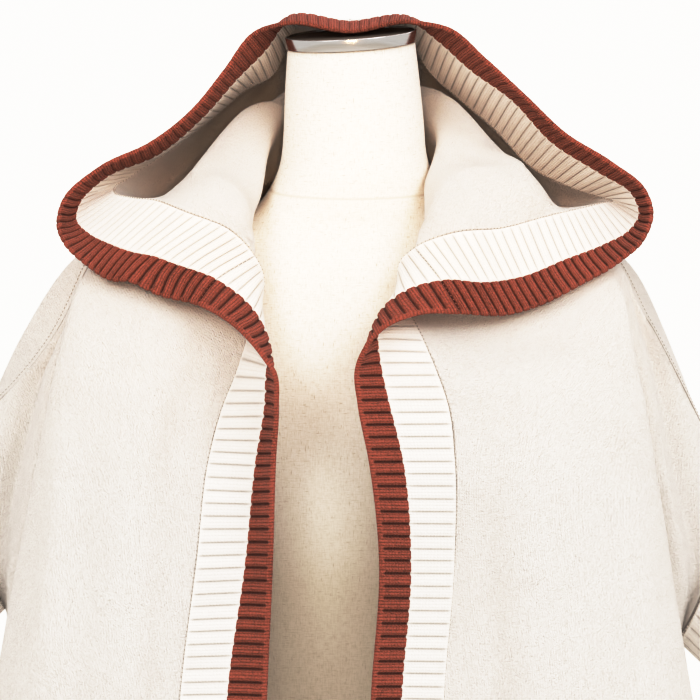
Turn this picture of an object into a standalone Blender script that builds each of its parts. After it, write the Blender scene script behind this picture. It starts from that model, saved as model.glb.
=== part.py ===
"""Knit cape with a draped hood and ribbed bands, on a limbless dress form.

The cape is cut as a left front, a right front, a back with grown-on sleeves, two hood
halves, a cream and a rust ribbed band round the hood, the same two bands down each
front and a ribbed cuff on each sleeve.  Every cloth wall is lofted through a short
table of sections in millimetres.  +X is the viewer's right, -Y is the front, +Z is up,
and the origin is the middle of the underside of the stand's round base.
"""
import math

import bmesh
import bpy
import numpy as np

MM = 0.001

# Cloth sizes, in millimetres.
BODY_WALL = 2.6
RIM_SHARE = 0.45
BAND_WALL = 3.0
RIB_HEIGHT = 1.5
RIB_PITCH = 9.6
HOOD_RIB_PITCH = 8.2
PLAIN_STEP = 4
SEAM_GAP = 0.6
HOOD_SEAM_GAP = 1.6
BAND_GAP = 0.65
FOLD_ROOM = 2.2
SHARPEST_FOLD = 4.0
NECK_SEAM_LIFT = 2.2
CUFF_LENGTH = 80.0
CUFF_RIBS = 26
CUFF_DEPTH = 36.0
CUFF_END_SHARE = 0.9
CUFF_SEAM_GAP = 2.4

# Stand sizes, in millimetres.
BASE_RADIUS = 160.0
BASE_THICK = 8.0
POLE_RADIUS = 12.5
FORM_BOTTOM = 700.0
FIT_GAP = 0.3
CAP_HEIGHT = 9.5
CAP_WALL = 1.5
PLATE_THICK = 2.5
CAP_TILT = 0.21
CAP_ROLL = 0.063
COLLAR_RADIUS = 24.0
COLLAR_HEIGHT = 30.0

# Left band sections from the hem up: the free edge, the line where rust meets cream,
# and the seam where the cream band meets the plain cloth.
BAND_LEFT = (
    ("hem", (-72, -150, 700), (-98, -146, 700), (-136, -150, 700)),
    ("thigh", (-66, -152, 850), (-91, -147, 850), (-130, -152, 850)),
    ("hip", (-62, -153, 994), (-92, -146, 994), (-128, -150, 994)),
    ("waist", (-58, -153, 1099), (-78, -136, 1098), (-116, -140, 1097)),
    ("bust", (-56, -156, 1174), (-70, -136, 1173), (-107, -126, 1174)),
    ("chest", (-54, -161, 1214), (-63, -138, 1215), (-96, -118, 1214)),
    ("twist", (-55, -166, 1235), (-62, -142, 1237), (-86, -113, 1239)),
    ("lapel", (-66, -161, 1252), (-62, -138, 1257), (-76, -106, 1271)),
    ("roll", (-84, -146, 1271), (-71, -126, 1281), (-68, -97, 1300)),
    ("joint", (-116, -122, 1290), (-102, -110, 1309), (-73, -101, 1328)),
    ("low 1", (-150, -104, 1299), (-136, -101, 1322), (-95, -98, 1350)),
    ("wave", (-169, -95, 1308), (-150, -93, 1327), (-109, -89, 1356)),
    ("low 2", (-183, -87, 1309), (-165, -83, 1330), (-125, -80, 1362)),
    ("low 3", (-204, -72, 1321), (-188, -60, 1338), (-150, -56, 1372)),
    ("low 4", (-223, -55, 1338), (-206, -38, 1347), (-170, -34, 1375)),
    ("tip", (-231, -35, 1358), (-218, -14, 1360), (-187, -4, 1380)),
    ("high 1", (-225, -20, 1379), (-215, 3, 1378), (-189, 28, 1388)),
    ("high 2", (-200, -10, 1401), (-196, 14, 1397), (-176, 46, 1401)),
    ("high 3", (-160, -5, 1421), (-156, 19, 1415), (-146, 54, 1422)),
    ("high 4", (-124, -2, 1450), (-118, 21, 1447), (-111, 57, 1449)),
    ("high 5", (-100, -2, 1480), (-93, 21, 1475), (-85, 57, 1471)),
    ("high 6", (-78, -3, 1509), (-69, 20, 1499), (-62, 56, 1484)),
    ("horn", (-52, -9, 1516), (-51, 15, 1522), (-46, 51, 1519)),
    ("top", (0, -16, 1508.5), (0, 7, 1518), (0, 43, 1523)),
)

# Right band sections from the hem up, with the same columns.
BAND_RIGHT = (
    ("hem", (12, -150, 700), (36, -146, 700), (72, -142, 700)),
    ("thigh", (14, -151, 850), (38, -145, 850), (73, -138, 850)),
    ("hip", (16, -151, 994), (38, -142, 993), (71, -128, 991)),
    ("waist", (22, -153, 1099), (45, -142, 1098), (79, -130, 1097)),
    ("bust", (14, -156, 1174), (39, -150, 1174), (79, -146, 1174)),
    ("chest", (6, -160, 1215), (29, -151, 1215), (74, -143, 1215)),
    ("lapel", (4, -163, 1241), (23, -148, 1241), (65, -138, 1241)),
    ("twist", (13, -165, 1260), (20, -142, 1265), (55, -129, 1264)),
    ("roll 1", (30, -153, 1275), (26, -130, 1286), (42, -105, 1292)),
    ("roll 2", (54, -141, 1283), (43, -126, 1300), (38, -98, 1318)),
    ("joint", (84, -128, 1283), (69, -122, 1308), (50, -104, 1334)),
    ("low 1", (116, -110, 1282), (102, -108, 1307), (80, -104, 1346)),
    ("low 2", (146, -93, 1290), (133, -86, 1312), (116, -80, 1350)),
    ("low 3", (178, -76, 1306), (166, -64, 1325), (152, -48, 1360)),
    ("low 4", (211, -58, 1325), (200, -40, 1338), (184, -18, 1368)),
    ("low 5", (231, -44, 1343), (222, -22, 1350), (203, 3, 1373)),
    ("tip", (239, -30, 1364), (232, -7, 1365), (212, 24, 1375)),
    ("high 1", (234, -20, 1383), (227, 4, 1382), (207, 37, 1380)),
    ("high 2", (209, -10, 1405), (201, 14, 1400), (182, 46, 1389)),
    ("high 3", (173, -5, 1428), (164, 19, 1424), (148, 52, 1407)),
    ("high 4", (140, -3, 1459), (131, 20, 1459), (118, 54, 1438)),
    ("high 5", (108, -2, 1489), (98, 21, 1483), (88, 55, 1464)),
    ("high 6", (79, -3, 1513), (71, 20, 1507), (63, 54, 1488)),
    ("horn", (50, -9, 1517), (50, 15, 1522), (46, 51, 1519)),
)

# Neck seam of each side, from the front joint round to the centre back.
NECK_LEFT = (
    (-73, -101, 1328), (-82, -72, 1334), (-86, -52, 1345), (-89, -30, 1357), (-90, -8, 1368),
    (-87, 14, 1378), (-77, 36, 1387), (-58, 54, 1395), (-30, 66, 1400), (0, 70, 1402),
)
NECK_RIGHT = (
    (50, -104, 1334), (66, -80, 1340), (78, -58, 1348), (86, -32, 1359), (90, -8, 1369),
    (87, 14, 1378), (77, 36, 1387), (58, 54, 1395), (30, 66, 1400), (0, 70, 1402),
)
NECK_LAST = 9
SHOULDER_ON_NECK = 4.7

# Hood sections from the front joint to the centre back.  Columns: the band section the
# row ends on, throat, crest, inner fall, pouch, outer fall and over.
HOOD_LEFT = (
    ("joint", (-79, -78, 1341), (-77, -83, 1343), (-75, -88, 1342), (-74, -92, 1339),
     (-74, -95, 1336), (-73, -98, 1332)),
    ("low 1", (-76, -60, 1362), (-79, -72, 1369), (-83, -81, 1368), (-87, -88, 1364),
     (-90, -92, 1360), (-93, -95, 1355)),
    ("low 2", (-71, -38, 1378), (-96, -56, 1389), (-105, -64, 1385), (-112, -70, 1378),
     (-117, -74, 1372), (-120, -77, 1367)),
    ("low 3", (-68, -14, 1404), (-115, -26, 1398), (-128, -34, 1387), (-138, -42, 1378),
     (-143, -47, 1374), (-147, -52, 1373)),
    ("low 4", (-63, 10, 1426), (-107, 2, 1419), (-126, 6, 1398), (-143, 6, 1381),
     (-154, -6, 1376), (-163, -20, 1375)),
    ("high 1", (-56, 34, 1440), (-88, 24, 1447), (-108, 38, 1406), (-130, 52, 1374),
     (-160, 58, 1372), (-179, 44, 1380)),
    ("high 2", (-50, 44, 1446), (-78, 33, 1453), (-96, 54, 1404), (-117, 80, 1358),
     (-150, 92, 1362), (-169, 72, 1390)),
    ("high 3", (-46, 50, 1448), (-68, 42, 1455), (-84, 70, 1402), (-104, 108, 1342),
     (-136, 122, 1356), (-150, 92, 1402)),
    ("high 5", (-26, 62, 1452), (-44, 60, 1470), (-50, 94, 1396), (-58, 140, 1268),
     (-94, 162, 1370), (-96, 98, 1450)),
    ("top", (0, 70, 1440), (0, 78, 1462), (0, 112, 1384), (0, 156, 1236),
     (0, 176, 1390), (0, 82, 1512)),
)
HOOD_RIGHT = (
    ("joint", (60, -86, 1347), (57, -90, 1349), (55, -93, 1348), (53, -97, 1345),
     (52, -100, 1341), (51, -102, 1338)),
    ("low 1", (60, -68, 1364), (64, -80, 1372), (68, -88, 1371), (72, -95, 1366),
     (75, -99, 1360), (78, -102, 1353)),
    ("low 2", (60, -42, 1386), (84, -58, 1396), (96, -66, 1390), (104, -72, 1380),
     (109, -76, 1369), (113, -79, 1359)),
    ("low 3", (67, -14, 1408), (126, -24, 1405), (138, -32, 1396), (146, -39, 1385),
     (149, -43, 1376), (151, -46, 1367)),
    ("low 4", (70, 8, 1428), (114, 0, 1419), (136, 6, 1396), (152, 6, 1379),
     (164, -2, 1370), (174, -10, 1368)),
    ("high 1", (61, 36, 1442), (88, 22, 1453), (110, 38, 1406), (138, 54, 1370),
     (174, 62, 1366), (197, 50, 1374)),
    ("high 2", (54, 44, 1448), (79, 32, 1461), (98, 54, 1404), (122, 82, 1354),
     (158, 94, 1356), (177, 74, 1382)),
    ("high 3", (48, 50, 1450), (70, 42, 1466), (86, 70, 1404), (106, 108, 1340),
     (140, 122, 1350), (154, 90, 1392)),
    ("high 5", (26, 62, 1452), (46, 60, 1470), (52, 94, 1396), (60, 140, 1268),
     (98, 162, 1366), (99, 98, 1444)),
    ("top", (0, 70, 1440), (0, 78, 1462), (0, 112, 1384), (0, 156, 1236),
     (0, 176, 1390), (0, 82, 1512)),
)

# Front panel sections below the neck seam.  Columns: the place on the band table where
# the row starts, front, breast, ridge, valley, sleeve and end.
FRONT_LEFT = (
    (8.0, (-98, -88, 1304), (-122, -76, 1315), (-138, -56, 1330), (-145, -38, 1340),
     (-149, -18, 1348), (-150, 0, 1354)),
    (7.0, (-118, -108, 1276), (-165, -95, 1290), (-205, -62, 1315), (-199, -45, 1322),
     (-203, -30, 1326), (-201, -13, 1330)),
    (6.0, (-135, -122, 1243), (-182, -112, 1256), (-216, -82, 1282), (-206, -58, 1286),
     (-217, -42, 1288), (-221, -28, 1288)),
    (5.0, (-145, -130, 1215), (-192, -121, 1222), (-226, -94, 1236), (-213, -62, 1242),
     (-237, -46, 1244), (-253, -28, 1240)),
    (4.0, (-158, -138, 1176), (-206, -127, 1177), (-240, -98, 1168), (-226, -63, 1172),
     (-272, -44, 1178), (-322, -10, 1166)),
    (3.5, (-163, -146, 1135), (-213, -133, 1133), (-247, -98, 1128), (-233, -63, 1128),
     (-270, -56, 1122), (-298, -45, 1109)),
    (3.0, (-168, -154, 1096), (-221, -138, 1091), (-256, -98, 1085), (-242, -61, 1078),
     (-262, -38, 1066), (-275, -8, 1052)),
    (2.5, (-176, -160, 1042), (-230, -143, 1038), (-264, -98, 1036), (-250, -59, 1030),
     (-266, -32, 1026), (-276, -6, 1020)),
    (1.75, (-184, -164, 958), (-242, -145, 955), (-279, -100, 953), (-266, -60, 950),
     (-284, -30, 950), (-293, 2, 950)),
    (1.0, (-192, -166, 850), (-256, -147, 850), (-298, -102, 850), (-288, -60, 850),
     (-304, -30, 850), (-315, 4, 850)),
    (0.0, (-202, -168, 700), (-272, -149, 700), (-320, -104, 700), (-310, -62, 700),
     (-326, -30, 700), (-338, 4, 700)),
)
FRONT_RIGHT = (
    (9.0, (78, -88, 1308), (110, -74, 1316), (134, -56, 1329), (143, -38, 1340),
     (148, -18, 1348), (150, 0, 1354)),
    (8.0, (100, -102, 1274), (156, -79, 1288), (205, -56, 1313), (201, -44, 1321),
     (207, -30, 1327), (206, -13, 1331)),
    (7.0, (112, -125, 1246), (170, -108, 1256), (213, -78, 1282), (204, -58, 1286),
     (220, -42, 1290), (228, -28, 1290)),
    (5.5, (122, -140, 1218), (180, -124, 1222), (221, -92, 1240), (208, -62, 1244),
     (232, -46, 1250), (250, -28, 1252)),
    (4.0, (134, -149, 1166), (192, -134, 1168), (233, -98, 1170), (219, -63, 1168),
     (262, -44, 1158), (304, -10, 1136)),
    (3.5, (138, -146, 1130), (198, -136, 1126), (241, -98, 1124), (227, -63, 1118),
     (258, -56, 1104), (283, -45, 1081)),
    (3.0, (142, -148, 1094), (204, -140, 1088), (247, -97, 1080), (233, -61, 1070),
     (250, -38, 1052), (262, -8, 1026)),
    (2.5, (144, -152, 1042), (210, -143, 1036), (254, -96, 1030), (240, -59, 1020),
     (255, -32, 1006), (264, -6, 996)),
    (1.75, (150, -158, 958), (222, -145, 955), (268, -98, 950), (255, -60, 948),
     (272, -30, 946), (282, 2, 944)),
    (1.0, (158, -162, 850), (238, -147, 850), (288, -100, 850), (278, -60, 850),
     (294, -30, 850), (306, 4, 850)),
    (0.0, (168, -164, 700), (256, -149, 700), (310, -102, 700), (300, -62, 700),
     (316, -30, 700), (330, 4, 700)),
)

# Back panel sections below the neck seam.  Columns: centre back, then blade, shoulder
# and bulge on the left, then the same three on the right.  Ends come from the fronts.
BACK = (
    ((0, 88, 1368), (-55, 80, 1371), (-105, 52, 1370), (-135, 26, 1363),
     (55, 80, 1371), (105, 52, 1370), (135, 26, 1363)),
    ((0, 97, 1330), (-72, 93, 1334), (-158, 58, 1341), (-216, 16, 1336),
     (72, 93, 1334), (158, 58, 1341), (219, 15, 1333)),
    ((0, 104, 1290), (-84, 106, 1292), (-170, 80, 1297), (-246, 16, 1294),
     (84, 106, 1292), (169, 80, 1297), (238, 16, 1292)),
    ((0, 109, 1250), (-92, 114, 1250), (-188, 92, 1248), (-272, 26, 1248),
     (92, 114, 1250), (181, 92, 1248), (260, 24, 1242)),
    ((0, 111, 1198), (-98, 118, 1196), (-198, 98, 1190), (-288, 38, 1182),
     (96, 118, 1194), (191, 98, 1184), (279, 36, 1166)),
    ((0, 112, 1150), (-102, 121, 1146), (-206, 99, 1138), (-264, 58, 1124),
     (98, 121, 1142), (196, 99, 1126), (252, 56, 1102)),
    ((0, 112, 1098), (-106, 122, 1092), (-212, 98, 1080), (-256, 52, 1066),
     (102, 122, 1086), (200, 98, 1066), (244, 50, 1044)),
    ((0, 113, 1042), (-112, 123, 1038), (-218, 98, 1032), (-260, 48, 1026),
     (108, 123, 1032), (206, 98, 1016), (248, 46, 1004)),
    ((0, 116, 958), (-120, 127, 956), (-230, 101, 952), (-278, 51, 950),
     (116, 127, 952), (220, 101, 948), (268, 50, 946)),
    ((0, 121, 850), (-130, 133, 850), (-246, 105, 850), (-299, 54, 850),
     (126, 133, 850), (238, 105, 850), (290, 53, 850)),
    ((0, 127, 700), (-142, 141, 700), (-264, 110, 700), (-323, 57, 700),
     (138, 141, 700), (256, 110, 700), (315, 56, 700)),
)

# Cuff joins: the highest and lowest points of the sleeve end, and the way the cuff runs.
CUFF_LEFT = ((-322, -10, 1166), (-275, -8, 1052), (-0.70, -0.05, -0.71))
CUFF_RIGHT = ((304, -10, 1136), (262, -8, 1026), (0.70, -0.05, -0.71))
CUFF_FIRST_ROW = 5
CUFF_LAST_ROW = 7

# Dress form rings from the bottom up.  Columns: height, centre x, centre y, half width,
# half depth in front, half depth behind, squareness and share of the neck's tilt.
FORM = (
    (700, 0, 0, 160, 98, 104, 2.2, 0.0),
    (780, 0, 0, 166, 104, 110, 2.2, 0.0),
    (870, 0, 0, 146, 94, 92, 2.2, 0.0),
    (950, 0, 0, 122, 86, 76, 2.1, 0.0),
    (1030, 0, 0, 134, 98, 80, 2.1, 0.0),
    (1100, 0, 0, 152, 114, 88, 2.1, 0.0),
    (1150, 0, 0, 162, 118, 92, 2.2, 0.0),
    (1200, 0, 0, 168, 110, 94, 2.3, 0.0),
    (1250, 0, 0, 178, 98, 92, 2.5, 0.0),
    (1290, 0, 0, 184, 88, 86, 2.6, 0.0),
    (1317, 0, 0, 176, 81, 82, 2.5, 0.0),
    (1337, 0, 0, 148, 67, 76, 2.3, 0.0),
    (1353, 0, 0, 105, 59, 70, 2.1, 0.1),
    (1367, 1, 0, 82, 58, 66, 2.0, 0.2),
    (1380, 2, 0, 71, 57, 60, 2.0, 0.35),
    (1396, 3, 0, 63, 56, 57, 2.0, 0.5),
    (1412, 3, 0, 58, 53, 54, 2.0, 0.6),
    (1436, 3, 0, 56, 50, 51, 2.0, 0.7),
    (1466, 2, 0, 54, 49, 49, 2.0, 0.85),
    (1500, 1, 0, 51, 48, 48, 2.0, 1.0),
)
FORM_SEGMENTS = 28

# Grid counts.
FRONT_ROWS = 22
FRONT_COLUMNS = 15
BACK_ROWS = 22
BACK_COLUMNS = 21
HOOD_ROWS = 22
HOOD_COLUMNS = 14
ROUND_SEGMENTS = 40
EASE_COLUMNS = 3
FRONT_SLEEVE_REACH = 4
BACK_SLEEVE_REACH = 3


def clear_scene():
    """Empty the file so that only this part's objects are left."""
    for old in list(bpy.data.objects):
        bpy.data.objects.remove(old, do_unlink=True)


def make_collection(name):
    """Add a collection to the scene."""
    collection = bpy.data.collections.new(name)
    bpy.context.scene.collection.children.link(collection)
    return collection


def make_material(name, colour, roughness, metallic=0.0):
    """Add one plain principled material."""
    material = bpy.data.materials.new(name)
    material.use_nodes = True
    shader = material.node_tree.nodes["Principled BSDF"]
    shader.inputs["Base Color"].default_value = (*colour, 1.0)
    shader.inputs["Roughness"].default_value = roughness
    shader.inputs["Metallic"].default_value = metallic
    return material


def smooth_rows(values, knots, at):
    """Pass a smooth curve through rows of values and read it at new places."""
    values = np.asarray(values, dtype=float)
    knots = np.asarray(knots, dtype=float)
    at = np.clip(np.asarray(at, dtype=float), knots[0], knots[-1])
    slopes = np.gradient(values, knots, axis=0)
    index = np.clip(np.searchsorted(knots, at, side="right") - 1, 0, len(knots) - 2)
    span = knots[index + 1] - knots[index]
    share = (at - knots[index]) / span
    shape = (-1,) + (1,) * (values.ndim - 1)
    share = share.reshape(shape)
    span = span.reshape(shape)
    square = share * share
    cube = square * share
    start = (2 * cube - 3 * square + 1) * values[index]
    start_slope = (cube - 2 * square + share) * span * slopes[index]
    end = (3 * square - 2 * cube) * values[index + 1]
    end_slope = (cube - square) * span * slopes[index + 1]
    return start + start_slope + end + end_slope


def chord_knots(points):
    """Number the rows of a curve by the distance along it."""
    points = np.asarray(points, dtype=float)
    steps = np.linalg.norm(np.diff(points, axis=0), axis=-1)
    return np.concatenate(([0.0], np.cumsum(steps)))


def unit(vectors):
    """Scale vectors to length one."""
    return vectors / np.maximum(np.linalg.norm(vectors, axis=-1, keepdims=True), 1e-9)


class BandPath:
    """The bands' course from the left hem over the hood to the right hem."""

    def __init__(self):
        rows = list(BAND_LEFT) + list(reversed(BAND_RIGHT))
        self.table = np.array([row[1:] for row in rows], dtype=float)
        self.knots = chord_knots(self.table[:, 1])
        self.left_names = [row[0] for row in BAND_LEFT]
        self.right_names = [row[0] for row in BAND_RIGHT]
        self.right_last = len(rows) - 1

    def left_index(self, name):
        """Row number of a named section on the left."""
        return self.left_names.index(name)

    def right_index(self, name):
        """Row number of a named section on the right."""
        if name == "top":
            return self.left_index("top")
        return self.right_last - self.right_names.index(name)

    def place(self, row_number):
        """Distance along the path of a row number, which may fall between rows."""
        return np.interp(row_number, range(len(self.knots)), self.knots)

    def rails(self, at):
        """Edge, colour line and seam points with their wall directions."""
        points = smooth_rows(self.table, self.knots, at)
        ahead = smooth_rows(self.table, self.knots, np.asarray(at) + 1.0)
        behind = smooth_rows(self.table, self.knots, np.asarray(at) - 1.0)
        along = unit(ahead - behind)
        rust_way = unit(points[:, 1] - points[:, 0])
        cream_way = unit(points[:, 2] - points[:, 1])
        rust_normal = unit(np.cross(along[:, 0], rust_way))
        cream_normal = unit(np.cross(along[:, 2], cream_way))
        middle_normal = unit(rust_normal + cream_normal)
        normals = np.stack((rust_normal, middle_normal, cream_normal), axis=1)
        return points, normals

    def cream_way(self, at):
        """Direction of the cream band from the colour line to its seam."""
        points = smooth_rows(self.table, self.knots, at)
        return unit(points[:, 2] - points[:, 1])


def finish_mesh(name, bm, material, collection):
    """Turn a bmesh in millimetres into a named object in metres."""
    bmesh.ops.triangulate(bm, faces=bm.faces[:])
    bmesh.ops.recalc_face_normals(bm, faces=bm.faces[:])
    for vertex in bm.verts:
        vertex.co *= MM
    mesh = bpy.data.meshes.new(name)
    bm.to_mesh(mesh)
    bm.free()
    mesh.materials.append(material)
    item = bpy.data.objects.new(name, mesh)
    collection.objects.link(item)
    return item


def zip_rails(bm, first, first_places, second, second_places):
    """Close the side between two rails that have unlike numbers of points."""
    i = 0
    j = 0
    while i < len(first) - 1 or j < len(second) - 1:
        more_first = i < len(first) - 1
        more_second = j < len(second) - 1
        take_first = more_first
        if more_first and more_second:
            take_first = first_places[i + 1] <= second_places[j + 1]
        if take_first:
            bm.faces.new((first[i], first[i + 1], second[j]))
            i += 1
        else:
            bm.faces.new((first[i], second[j + 1], second[j]))
            j += 1


def ribbed_face(bm, near, far, near_normals, far_normals, lifts):
    """One face of a ribbed strip: its points are lifted along the wall directions."""
    near_verts = []
    far_verts = []
    for row, lift in enumerate(lifts):
        near_verts.append(bm.verts.new(near[row] + near_normals[row] * lift))
        far_verts.append(bm.verts.new(far[row] + far_normals[row] * lift))
    for row in range(len(lifts) - 1):
        bm.faces.new((near_verts[row], near_verts[row + 1], far_verts[row + 1], far_verts[row]))
    return near_verts, far_verts


def make_band(name, path, rows, near_rail, pitch, ribbed_outside, material, collection):
    """A ribbed band between two rails, with ribs on the face that shows."""
    start = path.place(rows[0]) + SEAM_GAP
    end = path.place(rows[1]) - SEAM_GAP
    ribs = 2 * round((end - start) / pitch / 2)
    places = np.linspace(start, end, 2 * ribs + 1)
    points, normals = path.rails(places)
    near = points[:, near_rail]
    far = points[:, near_rail + 1]
    across = unit(far - near)
    near = near + across * BAND_GAP
    far = far - across * BAND_GAP
    near_normals = normals[:, near_rail]
    far_normals = normals[:, near_rail + 1]
    bm = bmesh.new()
    faces = []
    for side in (1, -1):
        steps = []
        lifts = []
        for step, place in enumerate(places):
            shown = ribbed_outside(place) == (side > 0)
            if not shown and step % PLAIN_STEP and step != len(places) - 1:
                continue
            raised = RIB_HEIGHT if shown and step % 2 else 0.0
            steps.append(step)
            lifts.append(side * (BAND_WALL / 2 + raised))
        near_verts, far_verts = ribbed_face(
            bm, near[steps], far[steps], near_normals[steps], far_normals[steps], lifts)
        faces.append((steps, near_verts, far_verts))
    outer_steps, outer_near, outer_far = faces[0]
    inner_steps, inner_near, inner_far = faces[1]
    zip_rails(bm, outer_near, outer_steps, inner_near, inner_steps)
    zip_rails(bm, outer_far, outer_steps, inner_far, inner_steps)
    for row in (0, -1):
        bm.faces.new((outer_near[row], outer_far[row], inner_far[row], inner_near[row]))
    return finish_mesh(name, bm, material, collection)


def cuff_ring(spec, angles, shrink=1.0):
    """Points of a sleeve end: a flattened ring through its highest and lowest points."""
    top = np.array(spec[0], dtype=float)
    bottom = np.array(spec[1], dtype=float)
    middle = (top + bottom) / 2
    half = (top - bottom) / 2
    depth = np.array((0.0, CUFF_DEPTH, 0.0))
    rise = np.cos(angles)[:, None] * half
    fall = -np.sin(angles)[:, None] * depth
    return middle + (rise + fall) * shrink


def make_cuff(name, spec, material, collection):
    """A ribbed tube that runs on from the sleeve end."""
    way = unit(np.array(spec[2], dtype=float))
    bm = bmesh.new()
    full_turn = 2 * CUFF_RIBS
    rims = []
    for count, side in ((full_turn, 1), (CUFF_RIBS, -1)):
        angles = np.arange(count) * 2 * math.pi / count
        near = cuff_ring(spec, angles) + way * CUFF_SEAM_GAP
        far = cuff_ring(spec, angles, CUFF_END_SHARE) + way * CUFF_LENGTH
        along = np.roll(near, -1, axis=0) - np.roll(near, 1, axis=0)
        outward = unit(np.cross(along, far - near))
        centre = near.mean(axis=0)
        flip = np.sign(np.sum(outward * (near - centre), axis=1))
        outward = outward * flip[:, None]
        ridge = RIB_HEIGHT * (np.arange(count) % 2) if side > 0 else np.zeros(count)
        lift = side * (BAND_WALL / 2 + ridge)
        near_verts = [bm.verts.new(p) for p in near + outward * lift[:, None]]
        far_verts = [bm.verts.new(p) for p in far + outward * lift[:, None]]
        for k in range(count):
            after = (k + 1) % count
            bm.faces.new((near_verts[k], near_verts[after], far_verts[after], far_verts[k]))
        places = np.arange(count + 1) * full_turn / count
        rims.append((near_verts + near_verts[:1], far_verts + far_verts[:1], places))
    outer_near, outer_far, outer_places = rims[0]
    inner_near, inner_far, inner_places = rims[1]
    zip_rails(bm, outer_near, outer_places, inner_near, inner_places)
    zip_rails(bm, outer_far, outer_places, inner_far, inner_places)
    return finish_mesh(name, bm, material, collection)


def make_cloth(name, grid, material, collection):
    """A plain cloth panel: a grid of points made into a wall that thins at its rims."""
    rows, columns = grid.shape[:2]
    verts = (grid.reshape(-1, 3) * MM).tolist()
    faces = []
    for i in range(rows - 1):
        for j in range(columns - 1):
            corner = i * columns + j
            faces.append((corner, corner + 1, corner + columns + 1, corner + columns))
    mesh = bpy.data.meshes.new(name)
    mesh.from_pydata(verts, [], faces)
    mesh.materials.append(material)
    item = bpy.data.objects.new(name, mesh)
    collection.objects.link(item)
    body = item.vertex_groups.new(name="full wall")
    inside = [i * columns + j for i in range(1, rows - 1) for j in range(1, columns - 1)]
    body.add(inside, 1.0, "REPLACE")
    wall = item.modifiers.new("wall", "SOLIDIFY")
    wall.thickness = BODY_WALL * MM
    wall.offset = 0.0
    wall.vertex_group = body.name
    wall.thickness_vertex_group = RIM_SHARE
    split = item.modifiers.new("triangles", "TRIANGULATE")
    split.quad_method = "SHORTEST_DIAGONAL"
    return item


def rows_to_grid(rows, row_count, column_count):
    """Loft a table of section points into an even grid."""
    rows = np.asarray(rows, dtype=float)
    row_numbers = np.arange(rows.shape[0])
    column_numbers = np.arange(rows.shape[1])
    grid = smooth_rows(rows, row_numbers, np.linspace(0, row_numbers[-1], row_count))
    across = grid.transpose(1, 0, 2)
    across = smooth_rows(across, column_numbers, np.linspace(0, column_numbers[-1], column_count))
    return across.transpose(1, 0, 2)


def fit_sleeve_end(grid, spec, half_turn, column, reach):
    """Carry a panel's end onto the cuff's ring and fade the move into the panel."""
    count = grid.shape[0]
    last_row = len(FRONT_LEFT)
    places = np.linspace(0, last_row, count)
    first = int(np.argmin(abs(places - CUFF_FIRST_ROW)))
    final = int(np.argmin(abs(places - CUFF_LAST_ROW)))
    angles = half_turn * np.linspace(0, math.pi, final - first + 1)
    ring = cuff_ring(spec, angles)
    step = 1 if column == 0 else -1
    for offset, row in enumerate(range(first, final + 1)):
        move = ring[offset] - grid[row, column]
        for k in range(reach):
            grid[row, column + step * k] += move * (1 - k / reach)
    return grid


def ease_column(grid, target, column):
    """Set an outermost column of a grid and fade the move into its two neighbours."""
    move = target - grid[:, column]
    step = 1 if column == 0 else -1
    for k in range(EASE_COLUMNS):
        grid[:, column + step * k] += move * (1 - k / EASE_COLUMNS)


def neck_curve(table, at):
    """Points of the neck seam."""
    return smooth_rows(table, np.arange(len(table)), at)


def front_grid(path, table, neck, index_of_joint, side, cuff):
    """Mid-surface of one front panel with its half of the sleeve."""
    neck_places = np.linspace(0, SHOULDER_ON_NECK, len(table[0]))
    rows = [neck_curve(neck, neck_places)]
    places = [path.place(index_of_joint)]
    for row in table:
        row_number = row[0] if side < 0 else path.right_last - row[0]
        places.append(path.place(row_number))
        points, _ = path.rails(places[-1:])
        rows.append([points[0, 2]] + list(row[1:]))
    grid = rows_to_grid(rows, FRONT_ROWS, FRONT_COLUMNS)
    spread = np.linspace(0, len(table), FRONT_ROWS)
    span = np.interp(spread, range(len(table) + 1), places)
    seam, _ = path.rails(span)
    ease_column(grid, seam[:, 2], 0)
    pull_from_band(grid, 0, path.cream_way(span), SEAM_GAP)
    return fit_sleeve_end(grid, cuff, 1, -1, FRONT_SLEEVE_REACH)


def pull_in(grid, gap, start_row=False, end_row=False, start_column=False, end_column=False):
    """Draw the named rims of a grid back by a small gap along the cloth."""
    if start_row:
        grid[0] += unit(grid[1] - grid[0]) * gap
    if end_row:
        grid[-1] += unit(grid[-2] - grid[-1]) * gap
    if start_column:
        grid[:, 0] += unit(grid[:, 1] - grid[:, 0]) * gap
    if end_column:
        grid[:, -1] += unit(grid[:, -2] - grid[:, -1]) * gap
    return grid


def pull_from_band(grid, column, band_way, gap):
    """Draw a panel's band seam back, further where the cloth folds sharply at the seam."""
    step = 1 if column == 0 else -1
    way = unit(grid[:, column + step] - grid[:, column])
    cosine = np.clip(np.sum(way * band_way, axis=1), -1.0, 1.0)
    fold = np.sqrt((1.0 - cosine) / np.maximum(1.0 + cosine, 1e-6))
    pull = gap + FOLD_ROOM * np.minimum(fold, SHARPEST_FOLD)
    grid[:, column] += way * pull[:, None]
    return grid


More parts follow.
